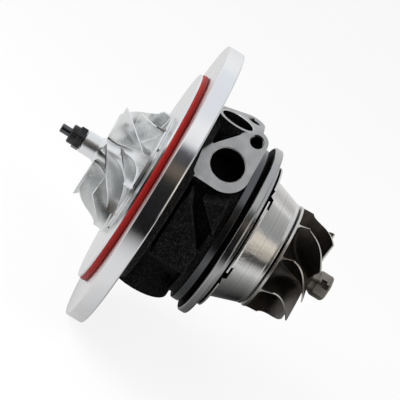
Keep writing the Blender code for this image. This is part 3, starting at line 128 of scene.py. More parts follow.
class Graph:
    """The node tree of a material or of the world, built by short calls."""

    def __init__(self, owner):
        owner.use_nodes = True
        self.owner = owner
        self.tree = owner.node_tree
        self.shader = self.tree.nodes.get("Principled BSDF")

    def node(self, kind, inputs=None, **settings):
        made = self.tree.nodes.new(kind)
        for key, value in settings.items():
            setattr(made, key, value)
        for key, value in (inputs or {}).items():
            self.put(made.inputs[key], value)
        return made

    def put(self, socket, value):
        if isinstance(value, bpy.types.NodeSocket):
            self.tree.links.new(value, socket)
        else:
            socket.default_value = value

    def set(self, **inputs):
        for key, value in inputs.items():
            self.put(self.shader.inputs[key.replace("_", " ")], value)

    def math(self, operation, a, b=0.0, c=0.0):
        made = self.node("ShaderNodeMath", {0: a, 1: b, 2: c}, operation=operation)
        return made.outputs[0]

    def coordinates(self, output="Object"):
        return self.node("ShaderNodeTexCoord").outputs[output]

    def split(self, vector):
        return self.node("ShaderNodeSeparateXYZ", {"Vector": vector}).outputs

    def dot(self, first, second):
        made = self.node("ShaderNodeVectorMath", {0: first, 1: second}, operation="DOT_PRODUCT")
        return made.outputs["Value"]

    def noise(self, vector, scale, detail=4.0, roughness=0.55):
        inputs = {"Vector": vector, "Scale": scale, "Detail": detail, "Roughness": roughness}
        return self.node("ShaderNodeTexNoise", inputs).outputs["Fac"]

    def lines(self, value, detail=3.0, roughness=0.6):
        """Uneven lines across one coordinate."""
        inputs = {"W": value, "Scale": 1.0, "Detail": detail, "Roughness": roughness}
        return self.node("ShaderNodeTexNoise", inputs, noise_dimensions="1D").outputs["Fac"]

    def turn_ramp(self, share, stops):
        """A colour ramp over a whole turn, from (degrees, colour) stops."""
        made = self.node("ShaderNodeValToRGB", {"Fac": share})
        elements = made.color_ramp.elements
        while len(elements) < len(stops):
            elements.new(0.5)
        for element, (degrees, colour) in zip(elements, stops):
            element.position = (degrees + 180) / 360
            element.color = (*colour, 1.0)
        return made.outputs["Color"]

    def mix(self, share, a, b):
        made = self.node("ShaderNodeMix", data_type="RGBA")
        self.put(made.inputs["Factor"], share)
        for socket, value in ((made.inputs["A"], a), (made.inputs["B"], b)):
            self.put(socket, (*value, 1.0) if isinstance(value, tuple) else value)
        return made.outputs["Result"]

    def mix_shaders(self, share, first, second):
        return self.node("ShaderNodeMixShader", {0: share, 1: first, 2: second}).outputs[0]

    def background(self, colour, strength):
        return self.node("ShaderNodeBackground", {"Color": colour, "Strength": strength}).outputs[0]

    def show(self, output, shader):
        self.tree.links.new(shader, self.tree.nodes[output].inputs["Surface"])

    def range(self, value, low, high, out_low=0.0, out_high=1.0, **settings):
        inputs = {"Value": value, "From Min": low, "From Max": high, "To Min": out_low, "To Max": out_high}
        return self.node("ShaderNodeMapRange", inputs, **settings).outputs["Result"]

    def bump(self, height, strength, distance_mm, normal=None):
        inputs = {"Height": height, "Strength": strength, "Distance": distance_mm * MM}
        if normal is not None:
            inputs["Normal"] = normal
        return self.node("ShaderNodeBump", inputs).outputs["Normal"]

    def turned_coordinate(self):
        """Millimetres along the turned outline: it changes on flats, cylinders and cones alike."""
        place = self.split(self.coordinates())
        y_squared = self.math("MULTIPLY", place["Y"], place["Y"])
        z_squared = self.math("MULTIPLY", place["Z"], place["Z"])
        radius = self.math("SQRT", self.math("ADD", y_squared, z_squared))
        along = self.math("MULTIPLY_ADD", place["X"], 1.7, radius)
        return self.math("MULTIPLY", along, 1 / MM)

    def turned_tangent(self):
        return self.node("ShaderNodeTangent", direction_type="RADIAL", axis="X").outputs["Tangent"]


def turned_metal(name, colour, roughness, line_bump=0.25, anisotropy=0.6, stain=None):
    """Metal turned on a lathe: fine uneven rings, a fan-shaped gloss, and faint handling marks."""
    graph = Graph(bpy.data.materials.new(name))
    along = graph.turned_coordinate()
    fine = graph.lines(graph.math("MULTIPLY", along, 9.0), 4.0, 0.7)
    broad = graph.lines(graph.math("MULTIPLY", along, 1.3), 2.0)
    cloud = graph.noise(graph.coordinates(), 55.0, 5.0)
    darker = tuple(channel * 0.80 for channel in colour)
    base = graph.mix(graph.range(fine, 0.3, 0.75, 0.0, 0.75), colour, darker)
    if stain:
        base = graph.mix(graph.range(cloud, 0.52, 0.75, 0.0, 0.35), base, stain)
    sheen = graph.range(broad, 0.3, 0.7, roughness * 0.75, roughness * 1.3)
    smudge = graph.range(cloud, 0.35, 0.7, -0.03, 0.06)
    normal = graph.bump(fine, line_bump, 0.02)
    graph.set(Base_Color=base, Metallic=1.0, Roughness=graph.math("ADD", sheen, smudge), Normal=normal)
    graph.set(Anisotropic=anisotropy, Tangent=graph.turned_tangent())
    return graph.owner


def milled_aluminium():
    """Wheel metal cut all over by a small ball cutter: faint lines run along each blade."""
    graph = Graph(bpy.data.materials.new("milled_aluminium"))
    path = graph.noise(graph.coordinates(), 60.0, 2.0)
    passes = graph.math("MULTIPLY", graph.split(graph.coordinates("UV"))["Y"], 22.0)
    across = graph.math("MULTIPLY_ADD", path, 0.5, passes)
    ridge = graph.math("ABSOLUTE", graph.math("SINE", graph.math("MULTIPLY", across, math.pi)))
    cloud = graph.noise(graph.coordinates(), 140.0, 4.0)
    base = graph.mix(graph.range(ridge, 0.0, 0.7, 0.30, 0.0), (0.87, 0.88, 0.88), (0.72, 0.73, 0.73))
    base = graph.mix(graph.range(cloud, 0.4, 0.7, 0.0, 0.30), base, (0.74, 0.75, 0.75))
    graph.set(Base_Color=base, Metallic=1.0, Roughness=graph.range(cloud, 0.3, 0.75, 0.23, 0.35))
    graph.set(Normal=graph.bump(ridge, 0.12, 0.02))
    return graph.owner


def cut_edge(name, line_scale, light, dark, dark_share, roughness, bump):
    """Edges and tips cut or ground round the axis: brighter than what they belong to, with fine lines."""
    graph = Graph(bpy.data.materials.new(name))
    fine = graph.lines(graph.math("MULTIPLY", graph.turned_coordinate(), line_scale), 4.0)
    base = graph.mix(graph.range(fine, 0.3, 0.7, 0.0, dark_share), light, dark)
    graph.set(Base_Color=base, Metallic=1.0, Roughness=graph.range(fine, 0.3, 0.7, *roughness))
    graph.set(Normal=graph.bump(fine, *bump))
    return graph.owner


def cast_iron():
    """Black casting: near-black skin with crisp sand grain, paler on sharp edges, and a little paler over the
    whole flange as painted light.
    """
    graph = Graph(bpy.data.materials.new("cast_iron_black"))
    place = graph.coordinates()
    grain = graph.noise(place, 2100.0, 3.0, 0.6)
    sand = graph.noise(place, 800.0, 3.0, 0.6)
    lumps = graph.noise(place, 260.0, 4.0, 0.55)
    # Painted light: the cast flange is made a little paler all over, as if more light fell on it.
    rim = graph.range(graph.split(place)["X"], (FLANGE_BACK_X + 0.6) * MM, (FLANGE_BACK_X - 0.4) * MM)
    edge = graph.range(graph.node("ShaderNodeNewGeometry").outputs["Pointiness"], 0.515, 0.56)
    pale_edges_and_painted_flange_light = graph.math("MULTIPLY_ADD", edge, 0.7, graph.math("MULTIPLY", rim, 0.12))
    skin = graph.mix(pale_edges_and_painted_flange_light, (0.0018, 0.0018, 0.0019), (0.020, 0.0185, 0.0175))
    speck = graph.mix(pale_edges_and_painted_flange_light, (0.030, 0.028, 0.027), (0.095, 0.089, 0.084))
    share = graph.math("MULTIPLY", graph.range(grain, 0.50, 0.60), graph.range(sand, 0.36, 0.56, 0.15, 1.0))
    normal = graph.bump(lumps, 0.5, 0.5)
    normal = graph.bump(sand, 0.6, 0.25, normal)
    normal = graph.bump(grain, 0.6, 0.15, normal)
    graph.set(Base_Color=graph.mix(share, skin, speck), Specular_IOR_Level=0.08)
    graph.set(Metallic=0.0, Roughness=graph.range(grain, 0.3, 0.7, 0.50, 0.72), Normal=normal)
    return graph.owner


def shade_black():
    """Painted shade: dull black put on the walls of deep gaps, grooves and bores where shade falls, with faint
    grain.
    """
    graph = Graph(bpy.data.materials.new("painted_shade_black"))
    grain = graph.noise(graph.coordinates(), 700.0, 4.0)
    base = graph.mix(graph.range(grain, 0.4, 0.7), (0.0015, 0.0015, 0.0016), (0.006, 0.006, 0.006))
    graph.set(Base_Color=base, Roughness=graph.range(grain, 0.3, 0.7, 0.6, 0.8), Specular_IOR_Level=0.05)
    graph.set(Normal=graph.bump(grain, 0.3, 0.05))
    return graph.owner


def machined_face():
    """Pale milled face of a pad on the casting, with faint cutter marks."""
    graph = Graph(bpy.data.materials.new("machined_pad_face"))
    place = graph.coordinates()
    marks = graph.lines(graph.math("MULTIPLY", graph.split(place)["X"], 6.0 / MM), 3.0)
    cloud = graph.noise(place, 160.0, 5.0)
    base = graph.mix(graph.range(cloud, 0.35, 0.7, 0.0, 0.6), (0.46, 0.465, 0.47), (0.33, 0.335, 0.34))
    base = graph.mix(graph.range(marks, 0.3, 0.7, 0.0, 0.3), base, (0.56, 0.56, 0.565))
    graph.set(Base_Color=base, Metallic=0.75, Roughness=graph.range(cloud, 0.3, 0.7, 0.36, 0.50))
    graph.set(Normal=graph.bump(marks, 0.3, 0.02))
    return graph.owner


def heat_shield_metal():
    """Pressed stainless sheet: uneven spun rings, faint press wrinkles along the cone and a bright gloss."""
    graph = Graph(bpy.data.materials.new("pressed_stainless"))
    along = graph.turned_coordinate()
    fine = graph.lines(graph.math("MULTIPLY", along, 5.0), 5.0, 0.75)
    broad = graph.lines(graph.math("MULTIPLY", along, 0.8), 2.0)
    place = graph.coordinates()
    cloud = graph.noise(place, 45.0, 4.0)
    speckle = graph.noise(place, 700.0, 3.0)
    drawn = graph.node("ShaderNodeVectorMath", {0: place, 1: (0.12, 1.0, 1.0)}, operation="MULTIPLY")
    wrinkle = graph.noise(drawn.outputs["Vector"], 620.0, 3.0, 0.6)
    patch = graph.range(graph.noise(place, 70.0, 2.0), 0.46, 0.60)
    base = graph.mix(graph.range(fine, 0.3, 0.7, 0.0, 0.5), (0.74, 0.735, 0.725), (0.62, 0.615, 0.605))
    base = graph.mix(graph.range(broad, 0.4, 0.65, 0.0, 0.35), base, (0.50, 0.495, 0.485))
    base = graph.mix(graph.range(cloud, 0.5, 0.75, 0.0, 0.35), base, (0.56, 0.49, 0.40))
    base = graph.mix(graph.range(speckle, 0.62, 0.75, 0.0, 0.4), base, (0.34, 0.33, 0.32))
    normal = graph.bump(fine, 0.05, 0.02)
    normal = graph.bump(graph.math("MULTIPLY", wrinkle, patch), 0.7, 0.16, normal)
    graph.set(Base_Color=base, Metallic=1.0, Roughness=graph.range(cloud, 0.3, 0.7, 0.14, 0.21))
    graph.set(Anisotropic=0.4, Tangent=graph.turned_tangent(), Normal=normal)
    return graph.owner


def turbine_alloy():
    """Investment-cast nickel alloy: near-black brown skin with fine grain."""
    graph = Graph(bpy.data.materials.new("cast_nickel_alloy"))
    place = graph.coordinates()
    grain = graph.noise(place, 1100.0, 5.0, 0.6)
    cloud = graph.noise(place, 130.0, 4.0)
    base = graph.mix(graph.range(cloud, 0.35, 0.7), (0.034, 0.029, 0.026), (0.080, 0.068, 0.060))
    base = graph.mix(graph.range(grain, 0.55, 0.75, 0.0, 0.5), base, (0.15, 0.13, 0.115))
    graph.set(Base_Color=base, Metallic=0.85, Roughness=graph.range(grain, 0.3, 0.7, 0.34, 0.52))
    graph.set(Normal=graph.bump(grain, 0.35, 0.06))
    return graph.owner


def black_oxide():
    graph = Graph(bpy.data.materials.new("black_oxide"))
    place = graph.coordinates()
    grain = graph.noise(place, 1500.0, 4.0)
    cloud = graph.noise(place, 300.0, 3.0)
    base = graph.mix(graph.range(cloud, 0.4, 0.7), (0.010, 0.010, 0.012), (0.035, 0.034, 0.034))
    graph.set(Base_Color=base, Metallic=0.5, Roughness=graph.range(grain, 0.3, 0.7, 0.26, 0.42))
    graph.set(Normal=graph.bump(grain, 0.2, 0.03))
    return graph.owner


def rubber(name, dark, light, roughness):
    graph = Graph(bpy.data.materials.new(name))
    place = graph.coordinates()
    grain = graph.noise(place, 1300.0, 4.0)
    cloud = graph.noise(place, 60.0, 3.0)
    base = graph.mix(graph.range(cloud, 0.35, 0.7), dark, light)
    graph.set(Base_Color=base, Roughness=graph.range(grain, 0.3, 0.7, roughness * 0.8, roughness * 1.25))
    graph.set(Specular_IOR_Level=0.25, Normal=graph.bump(grain, 0.15, 0.02))
    return graph.owner


MATERIALS = {
    "flange": turned_metal("turned_aluminium", (0.88, 0.885, 0.90), 0.12, 0.18, 0.5, (0.70, 0.66, 0.60)),
    "milled": milled_aluminium(),
    "edge": cut_edge(
        "turned_wheel_edge", 7.0, (0.90, 0.91, 0.92), (0.72, 0.73, 0.74), 0.6, (0.28, 0.38), (0.2, 0.01)
    ),
    "cast": cast_iron(),
    # Painted shade: near-black for the walls of deep gaps, grooves, notches and bores
    "shade_black": shade_black(),
    "bored": turned_metal("bored_casting", (0.10, 0.094, 0.088), 0.34, 0.3, 0.3),
    # Partly cut metal and partly a painted highlight: the pale chamfers at the mouths of the ports
    "lip": turned_metal("chamfer_with_painted_highlight", (0.86, 0.86, 0.86), 0.34, 0.2, 0.2),
    "flange_face": turned_metal("faced_aluminium", (0.93, 0.93, 0.935), 0.30, 0.3, 0.3),
    "boss_metal": turned_metal("boss_alloy", (0.27, 0.245, 0.22), 0.36, 0.3, 0.2, (0.16, 0.13, 0.11)),
    "face": machined_face(),
    "steel": turned_metal("machined_steel", (0.42, 0.42, 0.42), 0.16, 0.3, 0.5),
    "dull_steel": turned_metal("darkened_steel", (0.115, 0.118, 0.125), 0.22, 0.3, 0.5),
    "shield": heat_shield_metal(),
    "turbine": turbine_alloy(),
    "ground": cut_edge(
        "ground_nickel_alloy", 8.0, (0.72, 0.70, 0.67), (0.48, 0.46, 0.44), 0.8, (0.22, 0.36), (0.3, 0.02)
    ),
    "black": black_oxide(),
    "red": rubber("red_silicone", (0.26, 0.006, 0.004), (0.34, 0.008, 0.006), 0.5),
    "rubber": rubber("black_rubber", (0.010, 0.010, 0.010), (0.022, 0.022, 0.022), 0.6),
    "bronze": turned_metal("bearing_bronze", (0.62, 0.44, 0.20), 0.25, 0.3, 0.5),
}


# Meshes


def new_object(name, maker, *materials):
    mesh = bpy.data.meshes.new(name)
    maker.to_mesh(mesh)
    maker.free()
    made = bpy.data.objects.new(name, mesh)
    bpy.context.scene.collection.objects.link(made)
    for material in materials:
        mesh.materials.append(MATERIALS[material])
    return made


def turned(x, radius, turn):
    """The point at this place along the X axis, this radius and this turn round it."""
    return Vector((x, radius * math.cos(turn), radius * math.sin(turn)))


def smooth(made, angle=30):
    made.data.shade_smooth()
    made.data.set_sharp_from_angle(angle=angle * DEG)
    return made


def round_corners(outline, steps=4, support=0.06):
    """Fillets a closed outline of (x, radius, fillet) points, with a support point beside each fillet."""
    result = []
    count = len(outline)
    for index, (x, radius, fillet) in enumerate(outline):
        corner = Vector((x, radius))
        before = Vector(outline[index - 1][:2]) - corner
        after = Vector(outline[(index + 1) % count][:2]) - corner
        if fillet <= 0:
            result.append(tuple(corner))
            continue
        half = before.angle(after) / 2
        reach = min(fillet / math.tan(half), before.length * 0.45, after.length * 0.45)
        size = reach * math.tan(half)
        start = corner + before.normalized() * reach
        end = corner + after.normalized() * reach
        centre = corner + (before.normalized() + after.normalized()).normalized() * (size / math.sin(half))
        spread = (end - centre).angle_signed(start - centre)
        if before.length - reach > support:
            result.append(tuple(corner + before.normalized() * (reach + support)))
        for step in range(steps + 1):
            arm = start - centre
            arm.rotate(Matrix.Rotation(spread * step / steps, 2))
            result.append(tuple(centre + arm))
        if after.length - reach > support:
            result.append(tuple(corner + after.normalized() * (reach + support)))
    return result


def lathe(name, outline, sides, *materials, angle=30):
    """Turns a closed (x, radius) outline round the X axis, with UVs running round and along it."""
    maker = bmesh.new()
    uv_layer = maker.loops.layers.uv.new("UVMap")
    lengths = [0.0]
    for first, second in zip(outline, outline[1:] + outline[:1]):
        lengths.append(lengths[-1] + math.dist(first, second))
    rings = []
    for step in range(sides):
        turn = math.tau * step / sides
        rings.append([maker.verts.new(turned(x, radius, turn) * MM) for x, radius in outline])
    count = len(outline)
    for step in range(sides):
        ring = rings[step]
        after = rings[(step + 1) % sides]
        for index in range(count):
            second = (index + 1) % count
            if outline[index][1] < 1e-6 and outline[second][1] < 1e-6:
                continue
            face = maker.faces.new((ring[index], ring[second], after[second], after[index]))
            shares = ((step, index), (step, index + 1), (step + 1, index + 1), (step + 1, index))
            for loop, (turns, place) in zip(face.loops, shares):
                loop[uv_layer].uv = (turns / sides, lengths[place] / 10)
    bmesh.ops.remove_doubles(maker, verts=maker.verts, dist=1e-8)
    bmesh.ops.recalc_face_normals(maker, faces=maker.faces)
    return smooth(new_object(name, maker, *materials), angle)


def rod(name, start, direction, steps, sides, *materials):
    """A stepped round form: (radius, distance along the direction) at each edge."""
    maker = bmesh.new()
    place = Matrix.Translation(start) @ Vector(direction).to_track_quat("Z", "Y").to_matrix().to_4x4()
    rings = []
    for radius, distance in steps:
        ring = []
        for step in range(sides):
            turn = math.tau * (step + 0.5) / sides
            point = place @ Vector((radius * math.cos(turn), radius * math.sin(turn), distance))
            ring.append(maker.verts.new(point * MM))
        rings.append(ring)
    close_rings(maker, rings)
    return new_object(name, maker, *materials)


def close_rings(maker, rings):
    """Joins rings of vertices into a closed form."""
    count = len(rings[0])
    for low, high in zip(rings, rings[1:]):
        for step in range(count):
            after = (step + 1) % count
            maker.faces.new((low[step], low[after], high[after], high[step]))
    maker.faces.new(rings[0])
    maker.faces.new(rings[-1])
    bmesh.ops.recalc_face_normals(maker, faces=maker.faces)


def prism(name, outline, place, steps, centre, *materials):
    """A solid on a local XY outline: (distance along local Z, scale) at each level."""
    maker = bmesh.new()
    middle = Vector(centre)
    rings = []
    for distance, scale in steps:
        ring = []
        for point in outline:
            spread = middle + (Vector(point) - middle) * scale
            ring.append(maker.verts.new(place @ Vector((spread.x, spread.y, distance)) * MM))
        rings.append(ring)
    close_rings(maker, rings)
    return new_object(name, maker, *materials)


def apply_modifiers(target):
    graph = bpy.context.evaluated_depsgraph_get()
    result = bpy.data.meshes.new_from_object(target.evaluated_get(graph))
    target.modifiers.clear()
    target.data = result
    return target


def combine(target, tool, operation):
    """Joins or cuts a tool shape into the target. New faces keep the tool's material."""
    boolean = target.modifiers.new("boolean", "BOOLEAN")
    boolean.operation = operation
    boolean.solver = "MANIFOLD"
    boolean.material_mode = "TRANSFER"
    boolean.object = tool
    apply_modifiers(target)
    bpy.data.objects.remove(tool, do_unlink=True)
    return target


def cut(target, tool):
    return combine(target, tool, "DIFFERENCE")


def join(target, tool):
    return combine(target, tool, "UNION")


def hull_of_circles(circles, sides):
    """The outline that a tight belt makes round circles, each (x, y, radius)."""
    outline = []
    for step in range(sides):
        turn = math.tau * step / sides
        reach = Vector((math.cos(turn), math.sin(turn)))
        best = max(circles, key=lambda c: reach.x * c[0] + reach.y * c[1] + c[2])
        point = Vector((best[0], best[1])) + reach * best[2]
        if not outline or (point - outline[-1]).length > 1e-3:
            outline.append(point)
    return outline


def add_mesh(target, other):
    """Adds another object's mesh to the target's and removes that object."""
    merged = bmesh.new()
    merged.from_mesh(target.data)
    merged.from_mesh(other.data)
    merged.to_mesh(target.data)
    merged.free()
    bpy.data.objects.remove(other, do_unlink=True)
    return target


def hexagon_ring(maker, x, flat, corner_limit):
    """A ring round the X axis on a hexagon, with its corners turned down to a radius."""
    ring = []
    for step in range(HEXAGON_STEPS):
        turn = math.tau * step / HEXAGON_STEPS
        corner = flat / math.cos((turn + math.pi / 6) % (math.pi / 3) - math.pi / 6)
        ring.append(maker.verts.new(turned(x, min(corner, corner_limit), turn) * MM))
    return ring


def place(obj, body, slot, *nodes):
    """Says which body a piece rides on and which CAD nodes it stands for; the slot argument is not used."""
    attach(obj, body)
    if nodes:
        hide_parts(*nodes)
    return obj


# Back plate and its seal


PLATE_BACK_X = -34.95
PLATE_FRONT_X = -42.45
PILOT_X = PLATE_LOW.x
PLATE_RADIUS = PLATE_HIGH.y
PILOT_RADIUS = 48.9
GROOVE_FLOOR = 46.9
PILOT_LIP = 0.9
PLATE_HUB_RADIUS = 17.5
PLATE_SLEEVE_RADIUS = 13.0
PLATE_BORE_RADIUS = 8.4
PLATE_RECESS = 6.2
SCREW_COUNT = 4
SCREW_CIRCLE = 23.2
SCREW_HEAD = 4.8
SCREW_HOLE = 2.8
WHEEL_STEP = 0.5
WHEEL_STEP_RADIUS = 27.9
SEAL_HALF_WIDTH = 1.42
SEAL_HALF_HEIGHT = 1.15
SEAL_SQUARENESS = 0.7


def make_backplate():
    step_x = PILOT_X - WHEEL_STEP
    outline = [
        (step_x, PLATE_BORE_RADIUS, 0.2),
        (step_x, WHEEL_STEP_RADIUS, 0.1),
        (PILOT_X, WHEEL_STEP_RADIUS + 0.1, 0.1),
        (PILOT_X, PILOT_RADIUS, 0.15),
        (PILOT_X + PILOT_LIP, PILOT_RADIUS, 0.1),
        (PILOT_X + PILOT_LIP, GROOVE_FLOOR, 0.15),
        (PLATE_FRONT_X, GROOVE_FLOOR, 0.1),
        (PLATE_FRONT_X, PLATE_RADIUS, 0.45),
        (PLATE_BACK_X, PLATE_RADIUS, 0.7),
        (PLATE_BACK_X, PLATE_HUB_RADIUS, 0.2),
        (PLATE_HIGH.x, PLATE_HUB_RADIUS, 0.2),
        (PLATE_HIGH.x, PLATE_SLEEVE_RADIUS, 0.2),
        (PLATE_HIGH.x - PLATE_RECESS, PLATE_SLEEVE_RADIUS, 0.3),
        (PLATE_HIGH.x - PLATE_RECESS, PLATE_BORE_RADIUS, 0.2),
    ]
    plate = lathe("turned_backplate", round_corners(outline), 256, "flange", "flange_face")
    for polygon in plate.data.polygons:
        polygon.material_index = int(polygon.normal.x < -0.9)
    steps = ((SCREW_HEAD, -2), (SCREW_HEAD, 0.5), (SCREW_HOLE, 3.3), (SCREW_HOLE, 16))
    for index in range(SCREW_COUNT):
        start = turned(step_x, SCREW_CIRCLE, math.tau * (index + 0.5) / SCREW_COUNT)
        cut(plate, rod("screw_hole", start, (1, 0, 0), steps, 48, "flange"))
    return place(smooth(plate), "housing", "turned", "compressor_backplate")


def make_o_ring():
    """The seal, squeezed by its groove: a little wider than high, with squared sides."""
    middle = (O_RING_LOW.x + O_RING_HIGH.x) / 2
    radius = O_RING_HIGH.y - SEAL_HALF_HEIGHT
    outline = []
    for step in range(20):
        turn = math.tau * step / 20
        wide = math.copysign(abs(math.cos(turn)) ** SEAL_SQUARENESS, math.cos(turn))
        high = math.copysign(abs(math.sin(turn)) ** SEAL_SQUARENESS, math.sin(turn))
        outline.append((middle + SEAL_HALF_WIDTH * wide, radius + SEAL_HALF_HEIGHT * high))
    return place(lathe("red_o_ring", outline, 256, "red", angle=80), "housing", "red_seal", "cover_o_ring")


# Bearing housing


FRONT_X = HOUSING_LOW.x
LAND_X = -8.4
GROOVE_X = -5.5
VBAND_BACK_X = -3.6
VBAND_RADIUS = 39.5
LAND_RADIUS = 36.5
GROOVE_RADIUS = 33.0
TUBE_X = -20.0
TUBE_RADIUS = 16.5
SEAT_X = 2.2
SEAT_RADIUS = 24.0
NOSE_X = 15.5
SEAL_BORE_X = 6.5
SEAL_BORE = 8.2
SHAFT_BORE = 7.0
SPIGOT_BRIGHT_END = 1.6
SPIGOT_RADIUS = 33.4
CAST_DISC_RADIUS = 34.5
CAST_DISC_X = LAND_X - 3.6
WAIST_RADIUS = 28.5
FLANGE_RADIUS = 39.9
COOLANT_HEIGHT = 36.0
COOLANT_DEPTH = 11.4
COOLANT_PORT = 7.4
FEED_HEIGHT = 42.7
FEED_DEPTH = 13.0
FEED_PORT = 7.2
DRAIN_X = -24.4
DRAIN_HEIGHT = 38.9
DRAIN_RADIUS = 15.0
DRAIN_BORE = 7.8
RAW_MARGIN = 0.8
CASTING_GRID = 0.42
CASTING_SMOOTH_STEPS = 4
MILLED_BORDER = 0.6
FACING_HEIGHT = 4
PORT_CHAMFER = 0.4
BOLT_HOLE = 2.6
BOLT_HOLE_DEPTH = 13
CORE_STEPS = ((17.8, -1), (17.8, 8), (10.2, 8), (10.2, 40))
CLEAR_RADIUS = 90.0


def pad_frame(normal, height):
    out = Vector(normal).normalized()
    along = Vector((1, 0, 0))
    turn = Matrix((along, out.cross(along), out)).transposed().to_4x4()
    return Matrix.Translation(out * height) @ turn


# Circles that a pad's outline wraps, in its own plane: the port's first, then the bolt's
COOLANT_CIRCLES = [
    (-19.5, 7.0, 10.4), (-13.5, 22.9, 4.9), (-29.4, -4.1, 1.1), (-26.4, 5.0, 5.0), (-19.5, 5.2, 10.8),
]
FEED_CIRCLES = [(-24.0, 0.0, 9.8), (-17.0, 11.3, 5.0), (-14.5, 3.0, 2.5)]
SIDE_PANEL = [(-28.2, -14.1), (-11.8, -14.5), (-11.8, -4.0), (-24.6, 13.8), (-27.4, 16.6), (-28.4, 12.0)]
SIDE_WEB = [(-10.4, 6.3), (-12.1, 20.8), (-21.8, 17.3)]
PANEL_HEIGHT = 37.0
WEB_HEIGHT = 36.8


def coolant_frame(side):
    return pad_frame((0, side, 1), COOLANT_HEIGHT)


def coolant_circles(side):
    """The pad in view, or the far one: the same outline turned half a turn about its port."""
    shift = (-side - 1) * COOLANT_CIRCLES[0][1]
    return [(x, y + shift, radius) for x, y, radius in COOLANT_CIRCLES]


def side_frame(side):
    columns = (Vector((1, 0, 0)), Vector((0, 0, 1)), Vector((0, side, 0)))
    return Matrix(columns).transposed().to_4x4()


def cast_body():
    """The rough casting before any machining, with soft fillets where its forms meet."""
    outline = [
        (FRONT_X - 2, 0.0, 0),
        (FRONT_X - 2, FLANGE_RADIUS, 0),
        (FLANGE_BACK_X, FLANGE_RADIUS, 1.0),
        (FLANGE_BACK_X, WAIST_RADIUS, 1.6),
        (CAST_DISC_X, WAIST_RADIUS, 2.0),
        (CAST_DISC_X, CAST_DISC_RADIUS, 0.6),
        (LAND_X + 2, CAST_DISC_RADIUS, 0),
        (LAND_X + 2, 0.0, 0),
    ]
    body = lathe("cast_housing", round_corners(outline), 160, "cast")
    for side in (-1, 1):
        circles = coolant_circles(side)
        outline = hull_of_circles(circles, 64)
        steps = ((-COOLANT_HEIGHT, 1.07), (-1, 1.0), (RAW_MARGIN, 1.0))
        join(body, prism("boss", outline, coolant_frame(side), steps, circles[0][:2], "cast"))
        forms = [(SIDE_PANEL, PANEL_HEIGHT)] + ([(SIDE_WEB, WEB_HEIGHT)] if side < 0 else [])
        for shape, height in forms:
            middle = sum((Vector(point) for point in shape), Vector((0, 0))) / len(shape)
            steps = ((14, 1.06), (height - 0.6, 1.0), (height, 0.96))
            join(body, prism("side_form", shape, side_frame(side), steps, middle, "cast"))
    outline = hull_of_circles(FEED_CIRCLES, 64)
    steps = ((-21, 1.07), (-1, 1.0), (RAW_MARGIN, 1.0))
    join(body, prism("boss", outline, pad_frame((0, 0, 1), FEED_HEIGHT), steps, FEED_CIRCLES[0][:2], "cast"))
    reach = DRAIN_HEIGHT - WAIST_RADIUS / 2 + RAW_MARGIN
    drain = ((DRAIN_RADIUS + 0.3, 0), (DRAIN_RADIUS, reach - 1), (DRAIN_RADIUS, reach))
    join(body, rod("drain_boss", (DRAIN_X, 0, -WAIST_RADIUS / 2), (0, 0, -1), drain, 96, "cast"))
    remesh = body.modifiers.new("remesh", "REMESH")
    remesh.mode = "VOXEL"
    remesh.voxel_size = CASTING_GRID * MM
    soften = body.modifiers.new("soften", "SMOOTH")
    soften.factor = 0.5
    soften.iterations = CASTING_SMOOTH_STEPS
    apply_modifiers(body)
    body.data.materials.clear()
    body.data.materials.append(MATERIALS["cast"])
    return body


def mill_pad(body, frame_matrix, circles, port_radius, depth, wall):
    """Faces a pad flat, bores its port and drills its bolt hole."""
    outline = hull_of_circles([(x, y, radius + MILLED_BORDER) for x, y, radius in circles], 64)
    facing = prism("facing", outline, frame_matrix, ((0, 1), (FACING_HEIGHT, 1)), (0, 0), "cast", "face")
    out = frame_matrix.to_3x3() @ Vector((0, 0, 1))
    for polygon in facing.data.polygons:
        polygon.material_index = int(polygon.normal.dot(out) < -0.9)
    cut(body, facing)
    port, bolt = (frame_matrix @ Vector((*circle[:2], 0)) for circle in circles[:2])
    steps = ((port_radius + PORT_CHAMFER + 1, -1), (port_radius, PORT_CHAMFER), (port_radius, depth))
    # The coolant ports' walls and the bolt holes' walls get painted shade: a dull black.
    cut(body, lip_bright(rod("port", port, -out, steps, 96, wall, "lip"), 96))
    steps = ((BOLT_HOLE + 1.6, -1), (BOLT_HOLE, 0.6), (BOLT_HOLE, BOLT_HOLE_DEPTH))
    return cut(body, lip_bright(rod("bolt_hole", bolt, -out, steps, 48, "shade_black", "steel"), 48))


def lip_bright(tool, sides):
    """Gives a boring tool's first ring of faces, the chamfer at the mouth, its second material: cut metal, which
    on the ports is made pale as a painted highlight.
    """
    for polygon in tool.data.polygons[:sides]:
        polygon.material_index = 1
    return tool


def make_housing():
    body = cast_body()
    front = ((CLEAR_RADIUS, 0), (CLEAR_RADIUS, 30))
    cut(body, rod("front_facing", (FRONT_X, 0, 0), (-1, 0, 0), front, 64, "face"))
    cut(body, rod("land_facing", (LAND_X - 0.15, 0, 0), (1, 0, 0), front, 64, "face"))
    for side in (-1, 1):
        mill_pad(body, coolant_frame(side), coolant_circles(side), COOLANT_PORT, COOLANT_DEPTH, "shade_black")
    mill_pad(body, pad_frame((0, 0, 1), FEED_HEIGHT), FEED_CIRCLES, FEED_PORT, FEED_DEPTH, "bored")
    drain = (DRAIN_X, 0, -DRAIN_HEIGHT)
    bottom = ((DRAIN_RADIUS + 0.5, 0), (DRAIN_RADIUS + 0.5, 10))
    cut(body, rod("drain_facing", drain, (0, 0, -1), bottom, 96, "face"))
    bore = ((DRAIN_BORE + 1.4, -1), (DRAIN_BORE, 0.4), (DRAIN_BORE, FEED_DEPTH))
    # The drain bore's wall gets painted shade: a dull black.
    cut(body, lip_bright(rod("drain_bore", drain, (0, 0, 1), bore, 96, "shade_black", "lip"), 96))
    cut(body, rod("core", (FRONT_X, 0, 0), (1, 0, 0), CORE_STEPS, 96, "face"))
    return place(smooth(body, 40), "housing", "cast", "bearing_housing")


